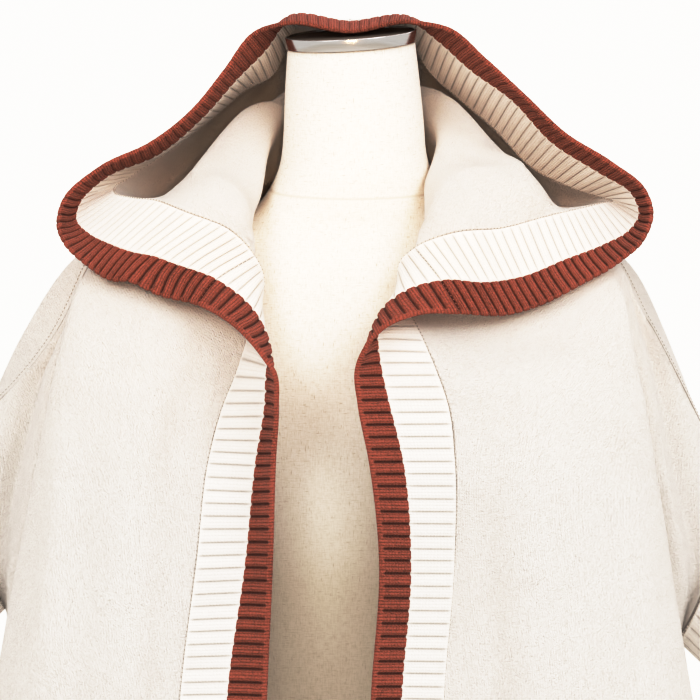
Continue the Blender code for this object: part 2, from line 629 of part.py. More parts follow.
def back_grid(left_end, right_end):
    """Mid-surface of the back panel with both half sleeves."""
    half = len(BACK[0]) // 2 + 2
    left_neck = neck_curve(NECK_LEFT, np.linspace(SHOULDER_ON_NECK, NECK_LAST, half))
    right_neck = neck_curve(NECK_RIGHT, np.linspace(NECK_LAST, SHOULDER_ON_NECK, half))
    rows = [list(left_neck) + list(right_neck[1:])]
    for number, row in enumerate(BACK):
        middle, blade_l, shoulder_l, bulge_l, blade_r, shoulder_r, bulge_r = row
        end_l = FRONT_LEFT[number][-1]
        end_r = FRONT_RIGHT[number][-1]
        rows.append([end_l, bulge_l, shoulder_l, blade_l, middle, blade_r, shoulder_r,
                     bulge_r, end_r])
    grid = rows_to_grid(rows, BACK_ROWS, BACK_COLUMNS)
    ease_column(grid, left_end, 0)
    ease_column(grid, right_end, -1)
    grid = fit_sleeve_end(grid, CUFF_LEFT, -1, 0, BACK_SLEEVE_REACH)
    return fit_sleeve_end(grid, CUFF_RIGHT, -1, -1, BACK_SLEEVE_REACH)


def hood_grid(path, table, neck, index_of):
    """Mid-surface of one hood half, from the neck seam to the band seam."""
    rows = []
    row_numbers = []
    neck_places = np.linspace(1, len(neck) - 1, len(table))
    for number, row in enumerate(table):
        base = neck_curve(neck, neck_places[number:number + 1])[0]
        base = base + np.array((0, 0, NECK_SEAM_LIFT))
        row_numbers.append(index_of(row[0]))
        points, _ = path.rails([path.place(row_numbers[-1])])
        rows.append([base] + list(row[1:]) + [points[0, 2]])
    grid = rows_to_grid(rows, HOOD_ROWS, HOOD_COLUMNS)
    spread = np.linspace(0, len(table) - 1, HOOD_ROWS)
    places = [path.place(r) for r in row_numbers]
    span = np.interp(spread, range(len(table)), places)
    seam, _ = path.rails(span)
    ease_column(grid, seam[:, 2], -1)
    pull_from_band(grid, -1, path.cream_way(span), HOOD_SEAM_GAP)
    return grid


def ring_points(row, segments):
    """One ring of the dress form, tilted towards the neck's tilt."""
    height, centre_x, centre_y, half_width, front, back, square, tilt = row
    points = []
    for k in range(segments):
        angle = 2 * math.pi * k / segments
        across = math.cos(angle)
        along = math.sin(angle)
        x = half_width * math.copysign(abs(across) ** (2 / square), across)
        depth = back if along > 0 else front
        y = depth * math.copysign(abs(along) ** (2 / square), along)
        z = height + tilt * (CAP_TILT * y + CAP_ROLL * x)
        points.append((centre_x + x, centre_y + y, z))
    return points


def make_form(material, collection):
    """The limbless torso with its neck, as one closed loft."""
    table = np.array(FORM, dtype=float)
    bm = bmesh.new()
    loops = []
    for row in table:
        loops.append([bm.verts.new(point) for point in ring_points(row, FORM_SEGMENTS)])
    for low, high in zip(loops, loops[1:]):
        for k in range(FORM_SEGMENTS):
            after = (k + 1) % FORM_SEGMENTS
            bm.faces.new((low[k], low[after], high[after], high[k]))
    bm.faces.new(loops[0])
    bm.faces.new(loops[-1])
    return finish_mesh("dress_form", bm, material, collection)


def make_loft(name, loops_points, material, collection):
    """A closed solid through loops with like numbers of points."""
    bm = bmesh.new()
    loops = [[bm.verts.new(point) for point in loop] for loop in loops_points]
    count = len(loops[0])
    pairs = list(zip(loops, loops[1:] + loops[:1]))
    for low, high in pairs:
        for k in range(count):
            after = (k + 1) % count
            bm.faces.new((low[k], low[after], high[after], high[k]))
    return finish_mesh(name, bm, material, collection)


def make_neck_cap(metal, dark, collection):
    """The bright band round the top of the neck and the dark plate it holds."""
    top_row = FORM[-1]
    gap = FIT_GAP
    height, centre_x, centre_y, half_width, front, back, square, tilt = top_row

    def loop(grow, lift):
        row = (height + lift, centre_x, centre_y, half_width + grow, front + grow,
               back + grow, square, tilt)
        return ring_points(row, FORM_SEGMENTS)

    wall = CAP_WALL
    band = (loop(gap, gap), loop(wall + gap, gap), loop(wall + gap, CAP_HEIGHT),
            loop(gap, CAP_HEIGHT))
    make_loft("neck_band", band, metal, collection)
    bm = bmesh.new()
    low = [bm.verts.new(point) for point in loop(0, gap)]
    high = [bm.verts.new(point) for point in loop(0, CAP_HEIGHT - PLATE_THICK / 2)]
    count = len(low)
    for k in range(count):
        after = (k + 1) % count
        bm.faces.new((low[k], low[after], high[after], high[k]))
    bm.faces.new(low)
    bm.faces.new(high)
    finish_mesh("neck_plate", bm, dark, collection)


def make_round(name, radius, low, high, material, collection):
    """An upright round bar or disc made from Blender's own cylinder."""
    bpy.ops.mesh.primitive_cylinder_add(
        vertices=ROUND_SEGMENTS, radius=radius * MM, depth=(high - low) * MM,
        location=(0, 0, (high + low) / 2 * MM))
    item = bpy.context.object
    item.name = name
    item.data.name = name
    item.data.materials.append(material)
    for holder in list(item.users_collection):
        holder.objects.unlink(item)
    collection.objects.link(item)
    return item


def outside_on_hood(path):
    """Over the neck cap the outer face of the bands shows, elsewhere the inner face."""
    start = path.place(path.left_index("horn"))
    end = path.place(path.right_index("horn"))

    def outside(place):
        return start < place < end

    return outside


def outside_on_left_front(path):
    """Below the left twist the outer face of the bands shows."""
    turn = path.place(path.left_index("twist"))

    def outside(place):
        return place < turn

    return outside


def outside_on_right_front(path):
    """Below the right twist the outer face of the bands shows."""
    turn = path.place(path.right_index("twist"))

    def outside(place):
        return place > turn

    return outside


def main():
    """Build every piece."""
    clear_scene()
    parts = make_collection("knit cape on dress form")
    cream = make_material("cream felted knit", (0.93, 0.90, 0.87), 0.95)
    rust = make_material("rust rib knit", (0.30, 0.075, 0.05), 0.95)
    linen = make_material("linen", (0.78, 0.73, 0.64), 0.9)
    steel = make_material("brushed steel", (0.62, 0.62, 0.63), 0.3, 1.0)
    dark = make_material("dark plate", (0.06, 0.055, 0.05), 0.6)

    path = BandPath()
    joint_left = path.left_index("joint")
    joint_right = path.right_index("joint")

    left = front_grid(path, FRONT_LEFT, NECK_LEFT, joint_left, -1, CUFF_LEFT)
    right = front_grid(path, FRONT_RIGHT, NECK_RIGHT, joint_right, 1, CUFF_RIGHT)
    back = back_grid(left[:, -1].copy(), right[:, -1].copy())
    hood_left = hood_grid(path, HOOD_LEFT, NECK_LEFT, path.left_index)
    hood_right = hood_grid(path, HOOD_RIGHT, NECK_RIGHT, path.right_index)

    gap = SEAM_GAP
    pull_in(left, gap, start_row=True, end_column=True)
    pull_in(right, gap, start_row=True, end_column=True)
    pull_in(back, gap, start_column=True, end_column=True)
    pull_in(hood_left, gap, start_row=True, end_row=True)
    pull_in(hood_right, gap, start_row=True, end_row=True)

    make_cloth("front_left", left, cream, parts)
    make_cloth("front_right", right, cream, parts)
    make_cloth("back", back, cream, parts)
    make_cloth("hood_left", hood_left, cream, parts)
    make_cloth("hood_right", hood_right, cream, parts)

    strips = (
        ("front_band_{}_left", (0, joint_left), RIB_PITCH, outside_on_left_front(path)),
        ("hood_band_{}", (joint_left, joint_right), HOOD_RIB_PITCH, outside_on_hood(path)),
        ("front_band_{}_right", (joint_right, path.right_last), RIB_PITCH,
         outside_on_right_front(path)),
    )
    for pattern, rows, pitch, outside in strips:
        for colour, rail, material in (("rust", 0, rust), ("cream", 1, cream)):
            make_band(pattern.format(colour), path, rows, rail, pitch, outside, material, parts)

    make_cuff("cuff_left", CUFF_LEFT, cream, parts)
    make_cuff("cuff_right", CUFF_RIGHT, cream, parts)

    make_form(linen, parts)
    make_neck_cap(steel, dark, parts)
    make_round("base_plate", BASE_RADIUS, 0.0, BASE_THICK, steel, parts)
    make_round("pole_collar", COLLAR_RADIUS, BASE_THICK + FIT_GAP, BASE_THICK + COLLAR_HEIGHT,
               steel, parts)
    make_round("pole", POLE_RADIUS, BASE_THICK + COLLAR_HEIGHT + FIT_GAP,
               FORM_BOTTOM - FIT_GAP, steel, parts)


main()
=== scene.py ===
"""Looks of the knit cape on its limbless dress form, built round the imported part.

The cloth follows the same short tables of sections as the part's solids, in
millimetres, at a finer step.  +X is the viewer's right, -Y the front and +Z up.
"""
import math
from functools import partial

import bmesh
import bpy
import numpy as np
from mathutils import Matrix, Vector, noise


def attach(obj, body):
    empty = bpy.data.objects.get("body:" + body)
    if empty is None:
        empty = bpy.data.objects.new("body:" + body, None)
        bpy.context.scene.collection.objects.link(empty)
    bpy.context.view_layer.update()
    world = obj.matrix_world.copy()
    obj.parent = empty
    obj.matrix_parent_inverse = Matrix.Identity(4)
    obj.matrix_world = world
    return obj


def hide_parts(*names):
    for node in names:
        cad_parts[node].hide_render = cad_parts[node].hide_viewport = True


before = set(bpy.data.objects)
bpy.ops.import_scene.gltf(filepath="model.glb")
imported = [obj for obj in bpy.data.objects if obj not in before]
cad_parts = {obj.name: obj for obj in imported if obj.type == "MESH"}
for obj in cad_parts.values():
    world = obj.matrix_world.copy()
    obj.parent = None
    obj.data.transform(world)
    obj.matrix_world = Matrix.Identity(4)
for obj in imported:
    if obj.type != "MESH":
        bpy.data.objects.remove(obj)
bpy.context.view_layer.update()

MM = 0.001

# Cloth sizes in millimetres, and the rows and columns that seams are fitted over.
BODY_WALL = 2.6
BAND_WALL = 3.0
RIB_HEIGHT = 1.5
RIB_PITCH = 9.6
HOOD_RIB_PITCH = 8.2
BAND_WIDTHS = (26.0, 38.0)
BAND_END_GAP = 0.05
SEAM_GAP = 0.6
NECK_SEAM_LIFT = 1.4
HEM_HEIGHT = 760.0
CUFF_LENGTH = 80.0
CUFF_RIBS = 26
CUFF_DEPTH = 36.0
CUFF_END_SHARE = 0.9
CUFF_SWELL = 1.2
CUFF_ROWS = (5, 7)
FRONT_SLEEVE_REACH = 4
BACK_SLEEVE_REACH = 3
EASE_COLUMNS = 3

# Rows and columns of the part's own grids, and of the finer ones drawn through them.
FRONT_COARSE = (22, 15)
BACK_COARSE = (22, 21)
HOOD_COARSE = (22, 14)
FRONT_FINE = (148, 85)
BACK_FINE = (148, 161)
HOOD_FINE = (127, 92)
SEAM_REACH = 12

# How rims, ribs and seams are shaped, in millimetres, degrees and shares of a rib.
RIM_TURNS = (60, 30, 0, -30, -60)
END_TURNS = (30, 60, 84)
RIM_BITE = 0.15
DRAW_COLUMNS = 6
RIB_WANDER = 0.35
RIB_UNEVEN = 0.12
EDGE_LEVEL = 0.55
HIDDEN_GROOVE = 0.3
CREAM_RELIEF = 0.55
BUTT_REACH = 0.9
SCALLOP = 1.0
EDGE_SCALLOP = 0.5
SEAM_SQUEEZE = 0.5
CUFF_SQUEEZE = 0.6
TOP_CALM = 0.55
TWIST_LENGTH = 18.0
CALM_STATIONS = 5

# Painted shade in the crease of a sewn seam: how dark it is at each of the rim turns.
PAINTED_SEAM_SHADE = (0.1, 0.7, 1.0, 0.7, 0.1)

# How a panel's hang is evened out and how its folds fade: shares of the panel or the fold,
# passes, and millimetres and points along a fold's line.
CALM_SHARE = 0.10
EVEN_FROM = 0.16
EVEN_PASSES = 140
LINE_REACH = 5.0
LINE_SAMPLES = 36
FOLD_END = 0.03
FOLD_FADE = 0.6

# One rib from groove to groove: share of its pitch and height.
RUST_PROFILE = ((0.0, 0.0), (0.05, 0.05), (0.11, 0.42), (0.18, 0.86), (0.30, 1.0), (0.42, 0.95),
                (0.5, 0.82), (0.58, 0.95), (0.70, 1.0), (0.82, 0.86), (0.89, 0.42), (0.95, 0.05))
CREAM_PROFILE = ((0.0, 0.0), (0.04, 0.20), (0.09, 0.62), (0.17, 0.90), (0.32, 1.0), (0.5, 0.95),
                 (0.68, 1.0), (0.83, 0.90), (0.91, 0.62), (0.96, 0.20))

# Columns across a band or cuff: millimetres from its near edge, share of rib and, on the
# rust strip, share of rib round the hood, where the bound edge rolls out of sight.
RUST_COLUMNS = ((1.7, 0.0, 0.5), (2.5, 0.05, 0.8), (3.2, 0.4, 1.0), (4.0, 0.9, 1.0),
                (6.0, 1.0, 1.0), (9.0, 1.0, 1.0), (12.5, 1.0, 1.0), (16.0, 1.0, 1.0),
                (19.5, 1.0, 1.0), (22.5, 1.0, 1.0), (24.3, 1.0, 1.0), (25.2, 0.9, 0.9))
CREAM_COLUMNS = ((0.7, 0.3), (2.2, 0.6), (4.5, 0.85), (8.0, 1.0), (13.0, 1.0), (18.0, 1.0),
                 (23.0, 1.0), (28.0, 1.0), (32.0, 1.0), (34.6, 0.9), (36.0, 0.5), (37.0, 0.1))
CUFF_COLUMNS = ((1.2, 0.1), (2.2, 0.5), (4.0, 1.0), (12.0, 1.0), (24.0, 1.0), (38.0, 1.0),
                (52.0, 1.0), (64.0, 1.0), (72.0, 1.0), (75.0, 0.8), (76.4, 0.2), (77.6, 0.0))

# Soft folds as seen from the front: depth (minus is a trough), half width and the line
# that the fold follows in x and z.
FOLDS_LEFT = (
    (4.5, 8, ((-216, 1318), (-230, 1252), (-250, 1153), (-267, 1073), (-278, 1011))),
    (-14.0, 12, ((-232, 1318), (-247, 1252), (-268, 1153), (-285, 1080), (-296, 1030))),
    (-4.0, 13, ((-112, 1276), (-124, 1222), (-136, 1150))),
    (2.6, 11, ((-132, 1276), (-146, 1224), (-156, 1160))),
    (3.4, 20, ((-150, 1240), (-158, 1160), (-162, 1040), (-170, 880), (-178, 700))),
    (-4.8, 17, ((-186, 1268), (-196, 1170), (-205, 1030), (-216, 880), (-226, 700))),
    (3.4, 13, ((-212, 1240), (-222, 1130), (-233, 1010))),
    (-3.6, 14, ((-130, 1110), (-140, 1010), (-150, 860), (-158, 700))),
    (4.4, 19, ((-238, 960), (-250, 850), (-258, 700))),
    (-4.4, 18, ((-196, 960), (-206, 850), (-196, 700))),
    (-5.0, 20, ((-268, 920), (-284, 820), (-292, 700))),
    (-2.6, 9, ((-140, 1246), (-152, 1232), (-168, 1226))),
    (-2.4, 11, ((-250, 1170), (-262, 1120), (-266, 1080))),
    (2.4, 12, ((-276, 1180), (-286, 1130), (-288, 1084))),
)
FOLDS_RIGHT = (
    (4.5, 8, ((216, 1300), (230, 1234), (242, 1169), (254, 1110), (266, 1031), (272, 976))),
    (-11.0, 12, ((232, 1300), (247, 1234), (259, 1169), (271, 1110), (284, 1050))),
    (-3.6, 16, ((96, 1268), (134, 1262), (172, 1272))),
    (3.4, 22, ((126, 1226), (131, 1140), (136, 1010), (140, 860), (150, 700))),
    (-4.6, 20, ((188, 1250), (196, 1160), (210, 1060), (222, 930), (232, 800), (238, 700))),
    (-3.4, 15, ((98, 1190), (100, 1110), (106, 1010), (104, 900))),
    (3.0, 12, ((160, 1190), (168, 1070), (176, 950))),
    (3.4, 12, ((218, 1200), (230, 1110), (242, 1030))),
    (-4.2, 18, ((178, 920), (186, 810), (182, 700))),
    (4.4, 20, ((206, 900), (216, 800), (214, 700))),
    (-5.0, 20, ((258, 930), (268, 830), (282, 700))),
    (-2.6, 12, ((240, 1150), (250, 1100), (252, 1060))),
    (2.4, 12, ((266, 1150), (276, 1100), (276, 1060))),
)
FOLDS_BACK = (
    (-4.2, 24, ((-36, 1330), (-44, 1200), (-40, 1050), (-48, 880), (-44, 700))),
    (3.4, 26, ((-4, 1320), (4, 1180), (-2, 1000), (6, 840), (2, 700))),
    (-4.6, 22, ((44, 1326), (52, 1220), (60, 1090), (58, 900), (66, 700))),
    (3.8, 22, ((-92, 1310), (-100, 1190), (-96, 1030), (-104, 860), (-102, 700))),
    (-4.4, 24, ((-138, 1280), (-150, 1160), (-156, 1010), (-168, 850), (-176, 700))),
    (3.2, 20, ((104, 1300), (112, 1180), (110, 1020), (118, 860), (122, 700))),
    (-3.8, 22, ((150, 1270), (160, 1150), (158, 1000), (172, 840), (178, 700))),
    (4.0, 20, ((-206, 1240), (-210, 1130), (-214, 980), (-226, 830), (-232, 700))),
    (4.0, 20, ((204, 1236), (206, 1120), (208, 980), (220, 830), (226, 700))),
    (-4.6, 22, ((-258, 980), (-270, 850), (-282, 700))),
    (-4.6, 22, ((250, 980), (262, 850), (274, 700))),
    (-3.0, 13, ((-244, 1200), (-252, 1140), (-250, 1084))),
    (-3.0, 13, ((238, 1190), (244, 1120), (240, 1064))),
)

# Dress form's seam round the base of the neck: middle height and its rise to the back.
NECK_SEAM_HEIGHT = 1385.5
NECK_SEAM_RISE = 12.0
NECK_SEAM_DEPTH = 0.5
NECK_SEAM_WIDTH = 0.9

# Stand sizes in millimetres, and the neck top's row of the form's table and its lean.
BASE_RADIUS = 160.0
BASE_THICK = 8.0
POLE_RADIUS = 12.5
FORM_BOTTOM = 700.0
COLLAR_RADIUS = 24.0
COLLAR_TOP = 38.0
CAP_HEIGHT = 9.5
CAP_WALL = 1.5
CAP_OUT = 1.8
CAP_GAP = 0.3
CAP_TILT = 0.21
CAP_ROLL = 0.063
PLATE_DROP = 1.25
NECK_TOP_ROW = (1500, 1, 0, 51, 48)
NECK_TOP, NECK_RADIUS = NECK_TOP_ROW[0], NECK_TOP_ROW[3]
SMOOTH_ANGLE = 35.0
FORM_SEGMENTS = 96
FORM_SEAM_ROWS = (12.2, 15.4)
FORM_SEAM_STEPS = 60
FORM_LOW_STEPS = 46
FORM_NECK_STEPS = 14

# Turned pieces: name, node, radius, low, high, segments, bevel, insets in the top and slot.
TURNED = (
    ("neck_band_turned", "neck_band", NECK_RADIUS + CAP_OUT, NECK_TOP + CAP_GAP,
     NECK_TOP + CAP_HEIGHT, 96, (0.35, 3), (), "stand_steel"),
    ("neck_plate_turned", "neck_plate", NECK_RADIUS, NECK_TOP + CAP_GAP,
     NECK_TOP + CAP_HEIGHT - PLATE_DROP, 96, (0.3, 2), ((2.0, 0.0), (1.2, -0.7)), "neck_dark"),
    ("base_turned", "base_plate", BASE_RADIUS, 0.0, BASE_THICK, 128, (1.2, 4),
     ((9.0, 0.0), (5.0, -1.6), (90.0, 0.0)), "stand_steel"),
    ("collar_turned", "pole_collar", COLLAR_RADIUS, BASE_THICK - 1.6, COLLAR_TOP, 96, (1.5, 4),
     ((6.0, 0.0), (3.0, -2.0)), "stand_steel"),
    ("pole_turned", "pole", POLE_RADIUS, COLLAR_TOP - 4.0, FORM_BOTTOM - 0.3, 64, (0.6, 2), (),
     "stand_steel"),
)

# Knitted loops: the sizes of a wale and a course in metres, and how far a wale wanders.
PLAIN_LOOP = (0.0026, 0.0021, 0.35)
RIB_COURSE = 0.0026

# Stitches: length and width, pitch and place in millimetres, and lean in radians.
LINK_STITCH = (1.3, 0.9)
LINK_PITCH = 3.4
LINK_LEAN = 0.7
TOP_STITCH = (2.2, 0.7)
TOP_PITCH = 3.2
TOP_INSET = 5.5
THREAD_LIFT = 0.25

# Where the rows of stitches run, and how many points their lines have.
SHOULDER_END_ROW = 5
JOINT_SHARES = (0.12, 0.94)
JOINT_SAMPLES = 12
SEAM_SAMPLES = 2400
CUFF_SAMPLES = 90

# Which way the cross product of rows and columns points on each panel: 1 is outwards.
OUTWARD = {"front_left": -1, "front_right": 1, "back": -1, "hood_left": 1, "hood_right": -1}

# Panels below the neck: node, folds, size and height of the felt's small swells, their seed,
# and how much painted shade darkens the seams at the near and far sides.
PANELS = (
    ("front_left", FOLDS_LEFT, 55.0, 0.8, 1, (0.3, 1)),
    ("front_right", FOLDS_RIGHT, 55.0, 0.8, 2, (0.3, 1)),
    ("back", FOLDS_BACK, 60.0, 0.9, 3, (1, 1)),
)
HOOD_SWELLS = (45.0, 0.7)

# Colours, linear.  Knits: a painted lit tone, a painted shaded tone, and a painted deep shade
# for rib grooves and seam creases.
CREAM_COLOURS = ((0.93, 0.878, 0.832), (0.76, 0.70, 0.655), (0.34, 0.29, 0.26))
CREAM_RIB_COLOURS = ((0.93, 0.885, 0.84), (0.82, 0.765, 0.715), (0.52, 0.485, 0.455))
RUST_COLOURS = ((0.44, 0.152, 0.102), (0.19, 0.058, 0.038), (0.14, 0.043, 0.030))
# Linen: painted light on the weave's raised threads and painted shade between them, flecks of
# flax, a darker seam line, and painted shade over the lower torso below a height in metres.
LINEN_LIGHT = (0.91, 0.852, 0.785)
LINEN_SHADE = (0.82, 0.76, 0.68)
LINEN_FLECK = (0.50, 0.42, 0.33)
LINEN_SEAM = (0.72, 0.66, 0.58)
LINEN_LOW_PAINTED_SHADE = (0.77, 0.735, 0.68)
PAINTED_SHADE_BELOW = 1.20
STEEL_COLOUR = (0.60, 0.575, 0.55)
STEEL_SHADE = 0.82
STEEL_ROUGHNESS = (0.12, 0.26)
# The neck's top plate is coloured dark as painted shade under the hood's edge.
PLATE_SHADE_COLOURS = ((0.12, 0.092, 0.075), (0.19, 0.15, 0.125))
FLOOR_COLOURS = ((0.86, 0.85, 0.84), (0.9, 0.89, 0.88))
# Yarns: name, colour and the twist's painted shade.  The shaded cream yarn is darkened as painted
# shade of the needle holes along the seams.
YARNS = (
    ("shaded cream yarn", (0.55, 0.51, 0.47), (0.43, 0.39, 0.355)),
    ("cream yarn", (0.86, 0.81, 0.76), (0.72, 0.67, 0.62)),
    ("rust yarn", (0.46, 0.20, 0.15), (0.26, 0.08, 0.055)),
)

# Knitted wool: name, colours, loops, height of loops and of nap in metres, how much painted
# shade darkens a gap between loops, how sharply painted shade darkens a groove, and sheen.
KNITS = (
    ("cream felted knit", CREAM_COLOURS, PLAIN_LOOP, 0.0005, 0.0018, 0.3, 1.0, 0.3),
    ("cream rib knit", CREAM_RIB_COLOURS, (RIB_PITCH / 2 * MM, RIB_COURSE, 0.1), 0.0004, 0.0005,
     0.3, 0.9, 0.3),
    ("rust rib knit", RUST_COLOURS, (RIB_PITCH / 2 * MM, RIB_COURSE, 0.16), 0.0011, 0.0016,
     0.62, 1.2, 0.1),
)

# The middle of the nap's tone, where a thread counts as a fleck, and the stretch of the
# linen's threads and slubs along and across the cloth.
NAP_MIDDLE = 1.62
FLECK_FROM = 0.63
LINEN_SCALES = (((150, 1000, 1), (190, 900, 1)), ((1000, 140, 1), (900, 170, 1)))

# Camera: focal length in millimetres and place in metres.
CAMERA_LENS = 154.3
CAMERA_PLACE = (0.0, -2.4, 1.256)

# Light of the surroundings and of the lamps.
ROOM_COLOUR = (1.0, 0.95, 0.89)
PLAIN_ROOM_COLOUR = (0.95, 0.95, 0.95)
ROOM_STRENGTH = 0.86
LAMP_COLOUR = (0.96, 0.98, 1.0)

# How the picture is developed: the light that counts as white, and the tone curve.
VIEW_WHITE = 1.25
VIEW_CURVE = ((0.08, 0.052), (0.176, 0.138), (0.28, 0.29), (0.40, 0.52), (0.52, 0.715),
              (0.64, 0.845), (0.80, 0.93))
VIEW_TOP = 0.985
BACKDROP_COLOUR = (1.245, 1.215, 1.15)

# Lamps: name, place, target, size in metres and watts.
LAMPS = (
    ("key", (-1.9, -2.4, 3.0), (0, 0, 1.2), 1.9, 38.0),
    ("fill", (2.0, -2.3, 2.9), (0, 0, 1.2), 1.9, 46.0),
    ("back", (0.4, 2.4, 2.9), (0, 0, 1.3), 1.8, 34.0),
)

# Narrow warm spots that reach into the hood: place, target, cone in degrees and watts.
HOOD_SPOTS = (
    ("hood spot left", (0.1, -2.6, 1.3), (-0.15, 0.05, 1.395), 7.5, 118.0),
    ("hood spot right", (-0.1, -2.6, 1.3), (0.15, 0.05, 1.405), 8.0, 105.0),
)
SPOT_COLOUR = (1.0, 0.55, 0.27)

# Left band sections from the hem up: the free edge, the line where rust meets cream,
# and the seam where the cream band meets the plain cloth.
BAND_LEFT = (
    ("hem", (-72, -150, 700), (-98, -146, 700), (-136, -150, 700)),
    ("thigh", (-66, -152, 850), (-91, -147, 850), (-130, -152, 850)),
    ("hip", (-62, -153, 994), (-92, -146, 994), (-128, -150, 994)),
    ("waist", (-58, -153, 1099), (-78, -136, 1098), (-116, -140, 1097)),
    ("bust", (-56, -156, 1174), (-70, -136, 1173), (-107, -126, 1174)),
    ("chest", (-54, -161, 1214), (-63, -138, 1215), (-96, -118, 1214)),
    ("twist", (-55, -166, 1235), (-62, -142, 1237), (-86, -113, 1239)),
    ("lapel", (-66, -161, 1252), (-62, -138, 1257), (-76, -106, 1271)),
    ("roll", (-84, -146, 1271), (-71, -126, 1281), (-68, -97, 1300)),
    ("joint", (-116, -122, 1290), (-102, -110, 1309), (-73, -101, 1328)),
    ("low 1", (-150, -104, 1299), (-136, -101, 1322), (-95, -98, 1350)),
    ("wave", (-169, -95, 1308), (-150, -93, 1327), (-109, -89, 1356)),
    ("low 2", (-183, -87, 1309), (-165, -83, 1330), (-125, -80, 1362)),
    ("low 3", (-204, -72, 1321), (-188, -60, 1338), (-150, -56, 1372)),
    ("low 4", (-223, -55, 1338), (-206, -38, 1347), (-170, -34, 1375)),
    ("tip", (-231, -35, 1358), (-218, -14, 1360), (-187, -4, 1380)),
    ("high 1", (-225, -20, 1379), (-215, 3, 1378), (-189, 28, 1388)),
    ("high 2", (-200, -10, 1401), (-196, 14, 1397), (-176, 46, 1401)),
    ("high 3", (-160, -5, 1421), (-156, 19, 1415), (-146, 54, 1422)),
    ("high 4", (-124, -2, 1450), (-118, 21, 1447), (-111, 57, 1449)),
    ("high 5", (-100, -2, 1480), (-93, 21, 1475), (-85, 57, 1471)),
    ("high 6", (-78, -3, 1509), (-69, 20, 1499), (-62, 56, 1484)),
    ("horn", (-52, -9, 1516), (-51, 15, 1522), (-46, 51, 1519)),
    ("top", (0, -16, 1508.5), (0, 7, 1518), (0, 43, 1523)),
)

# Right band sections from the hem up, with the same columns.
BAND_RIGHT = (
    ("hem", (12, -150, 700), (36, -146, 700), (72, -142, 700)),
    ("thigh", (14, -151, 850), (38, -145, 850), (73, -138, 850)),
    ("hip", (16, -151, 994), (38, -142, 993), (71, -128, 991)),
    ("waist", (22, -153, 1099), (45, -142, 1098), (79, -130, 1097)),
    ("bust", (14, -156, 1174), (39, -150, 1174), (79, -146, 1174)),
    ("chest", (6, -160, 1215), (29, -151, 1215), (74, -143, 1215)),
    ("lapel", (4, -163, 1241), (23, -148, 1241), (65, -138, 1241)),
    ("twist", (13, -165, 1260), (20, -142, 1265), (55, -129, 1264)),
    ("roll 1", (30, -153, 1275), (26, -130, 1286), (42, -105, 1292)),
    ("roll 2", (54, -141, 1283), (43, -126, 1300), (38, -98, 1318)),
    ("joint", (84, -128, 1283), (69, -122, 1308), (50, -104, 1334)),
    ("low 1", (116, -110, 1282), (102, -108, 1307), (80, -104, 1346)),
    ("low 2", (146, -93, 1290), (133, -86, 1312), (116, -80, 1350)),
    ("low 3", (178, -76, 1306), (166, -64, 1325), (152, -48, 1360)),
    ("low 4", (211, -58, 1325), (200, -40, 1338), (184, -18, 1368)),
    ("low 5", (231, -44, 1343), (222, -22, 1350), (203, 3, 1373)),
    ("tip", (239, -30, 1364), (232, -7, 1365), (212, 24, 1375)),
    ("high 1", (234, -20, 1383), (227, 4, 1382), (207, 37, 1380)),
    ("high 2", (209, -10, 1405), (201, 14, 1400), (182, 46, 1389)),
    ("high 3", (173, -5, 1428), (164, 19, 1424), (148, 52, 1407)),
    ("high 4", (140, -3, 1459), (131, 20, 1459), (118, 54, 1438)),
    ("high 5", (108, -2, 1489), (98, 21, 1483), (88, 55, 1464)),
    ("high 6", (79, -3, 1513), (71, 20, 1507), (63, 54, 1488)),
    ("horn", (50, -9, 1517), (50, 15, 1522), (46, 51, 1519)),
)

# Neck seam of each side, from the front joint round to the centre back.
NECK_LEFT = (
    (-73, -101, 1328), (-82, -72, 1334), (-86, -52, 1345), (-89, -30, 1357), (-90, -8, 1368),
    (-87, 14, 1378), (-77, 36, 1387), (-58, 54, 1395), (-30, 66, 1400), (0, 70, 1402),
)
NECK_RIGHT = (
    (50, -104, 1334), (66, -80, 1340), (78, -58, 1348), (86, -32, 1359), (90, -8, 1369),
    (87, 14, 1378), (77, 36, 1387), (58, 54, 1395), (30, 66, 1400), (0, 70, 1402),
)
NECK_LAST = 9
SHOULDER_ON_NECK = 4.7

# Hood sections from the front joint to the centre back.  Columns: the band section the
# row ends on, throat, crest, inner fall, pouch, outer fall and over.
HOOD_LEFT = (
    ("joint", (-79, -78, 1341), (-77, -83, 1343), (-75, -88, 1342), (-74, -92, 1339),
     (-74, -95, 1336), (-73, -98, 1332)),
    ("low 1", (-76, -60, 1362), (-79, -72, 1369), (-83, -81, 1368), (-87, -88, 1364),
     (-90, -92, 1360), (-93, -95, 1355)),
    ("low 2", (-71, -38, 1378), (-96, -56, 1389), (-105, -64, 1385), (-112, -70, 1378),
     (-117, -74, 1372), (-120, -77, 1367)),
    ("low 3", (-68, -14, 1404), (-115, -26, 1398), (-128, -34, 1387), (-138, -42, 1378),
     (-143, -47, 1374), (-147, -52, 1373)),
    ("low 4", (-63, 10, 1426), (-107, 2, 1419), (-126, 6, 1398), (-143, 6, 1381),
     (-154, -6, 1376), (-163, -20, 1375)),
    ("high 1", (-56, 34, 1440), (-88, 24, 1447), (-108, 38, 1406), (-130, 52, 1374),
     (-160, 58, 1372), (-179, 44, 1380)),
    ("high 2", (-50, 44, 1446), (-78, 33, 1453), (-96, 54, 1404), (-117, 80, 1358),
     (-150, 92, 1362), (-169, 72, 1390)),
    ("high 3", (-46, 50, 1448), (-68, 42, 1455), (-84, 70, 1402), (-104, 108, 1342),
     (-136, 122, 1356), (-150, 92, 1402)),
    ("high 5", (-26, 62, 1452), (-44, 60, 1470), (-50, 94, 1396), (-58, 140, 1268),
     (-94, 162, 1370), (-96, 98, 1450)),
    ("top", (0, 70, 1440), (0, 78, 1462), (0, 112, 1384), (0, 156, 1236),
     (0, 176, 1390), (0, 82, 1512)),
)
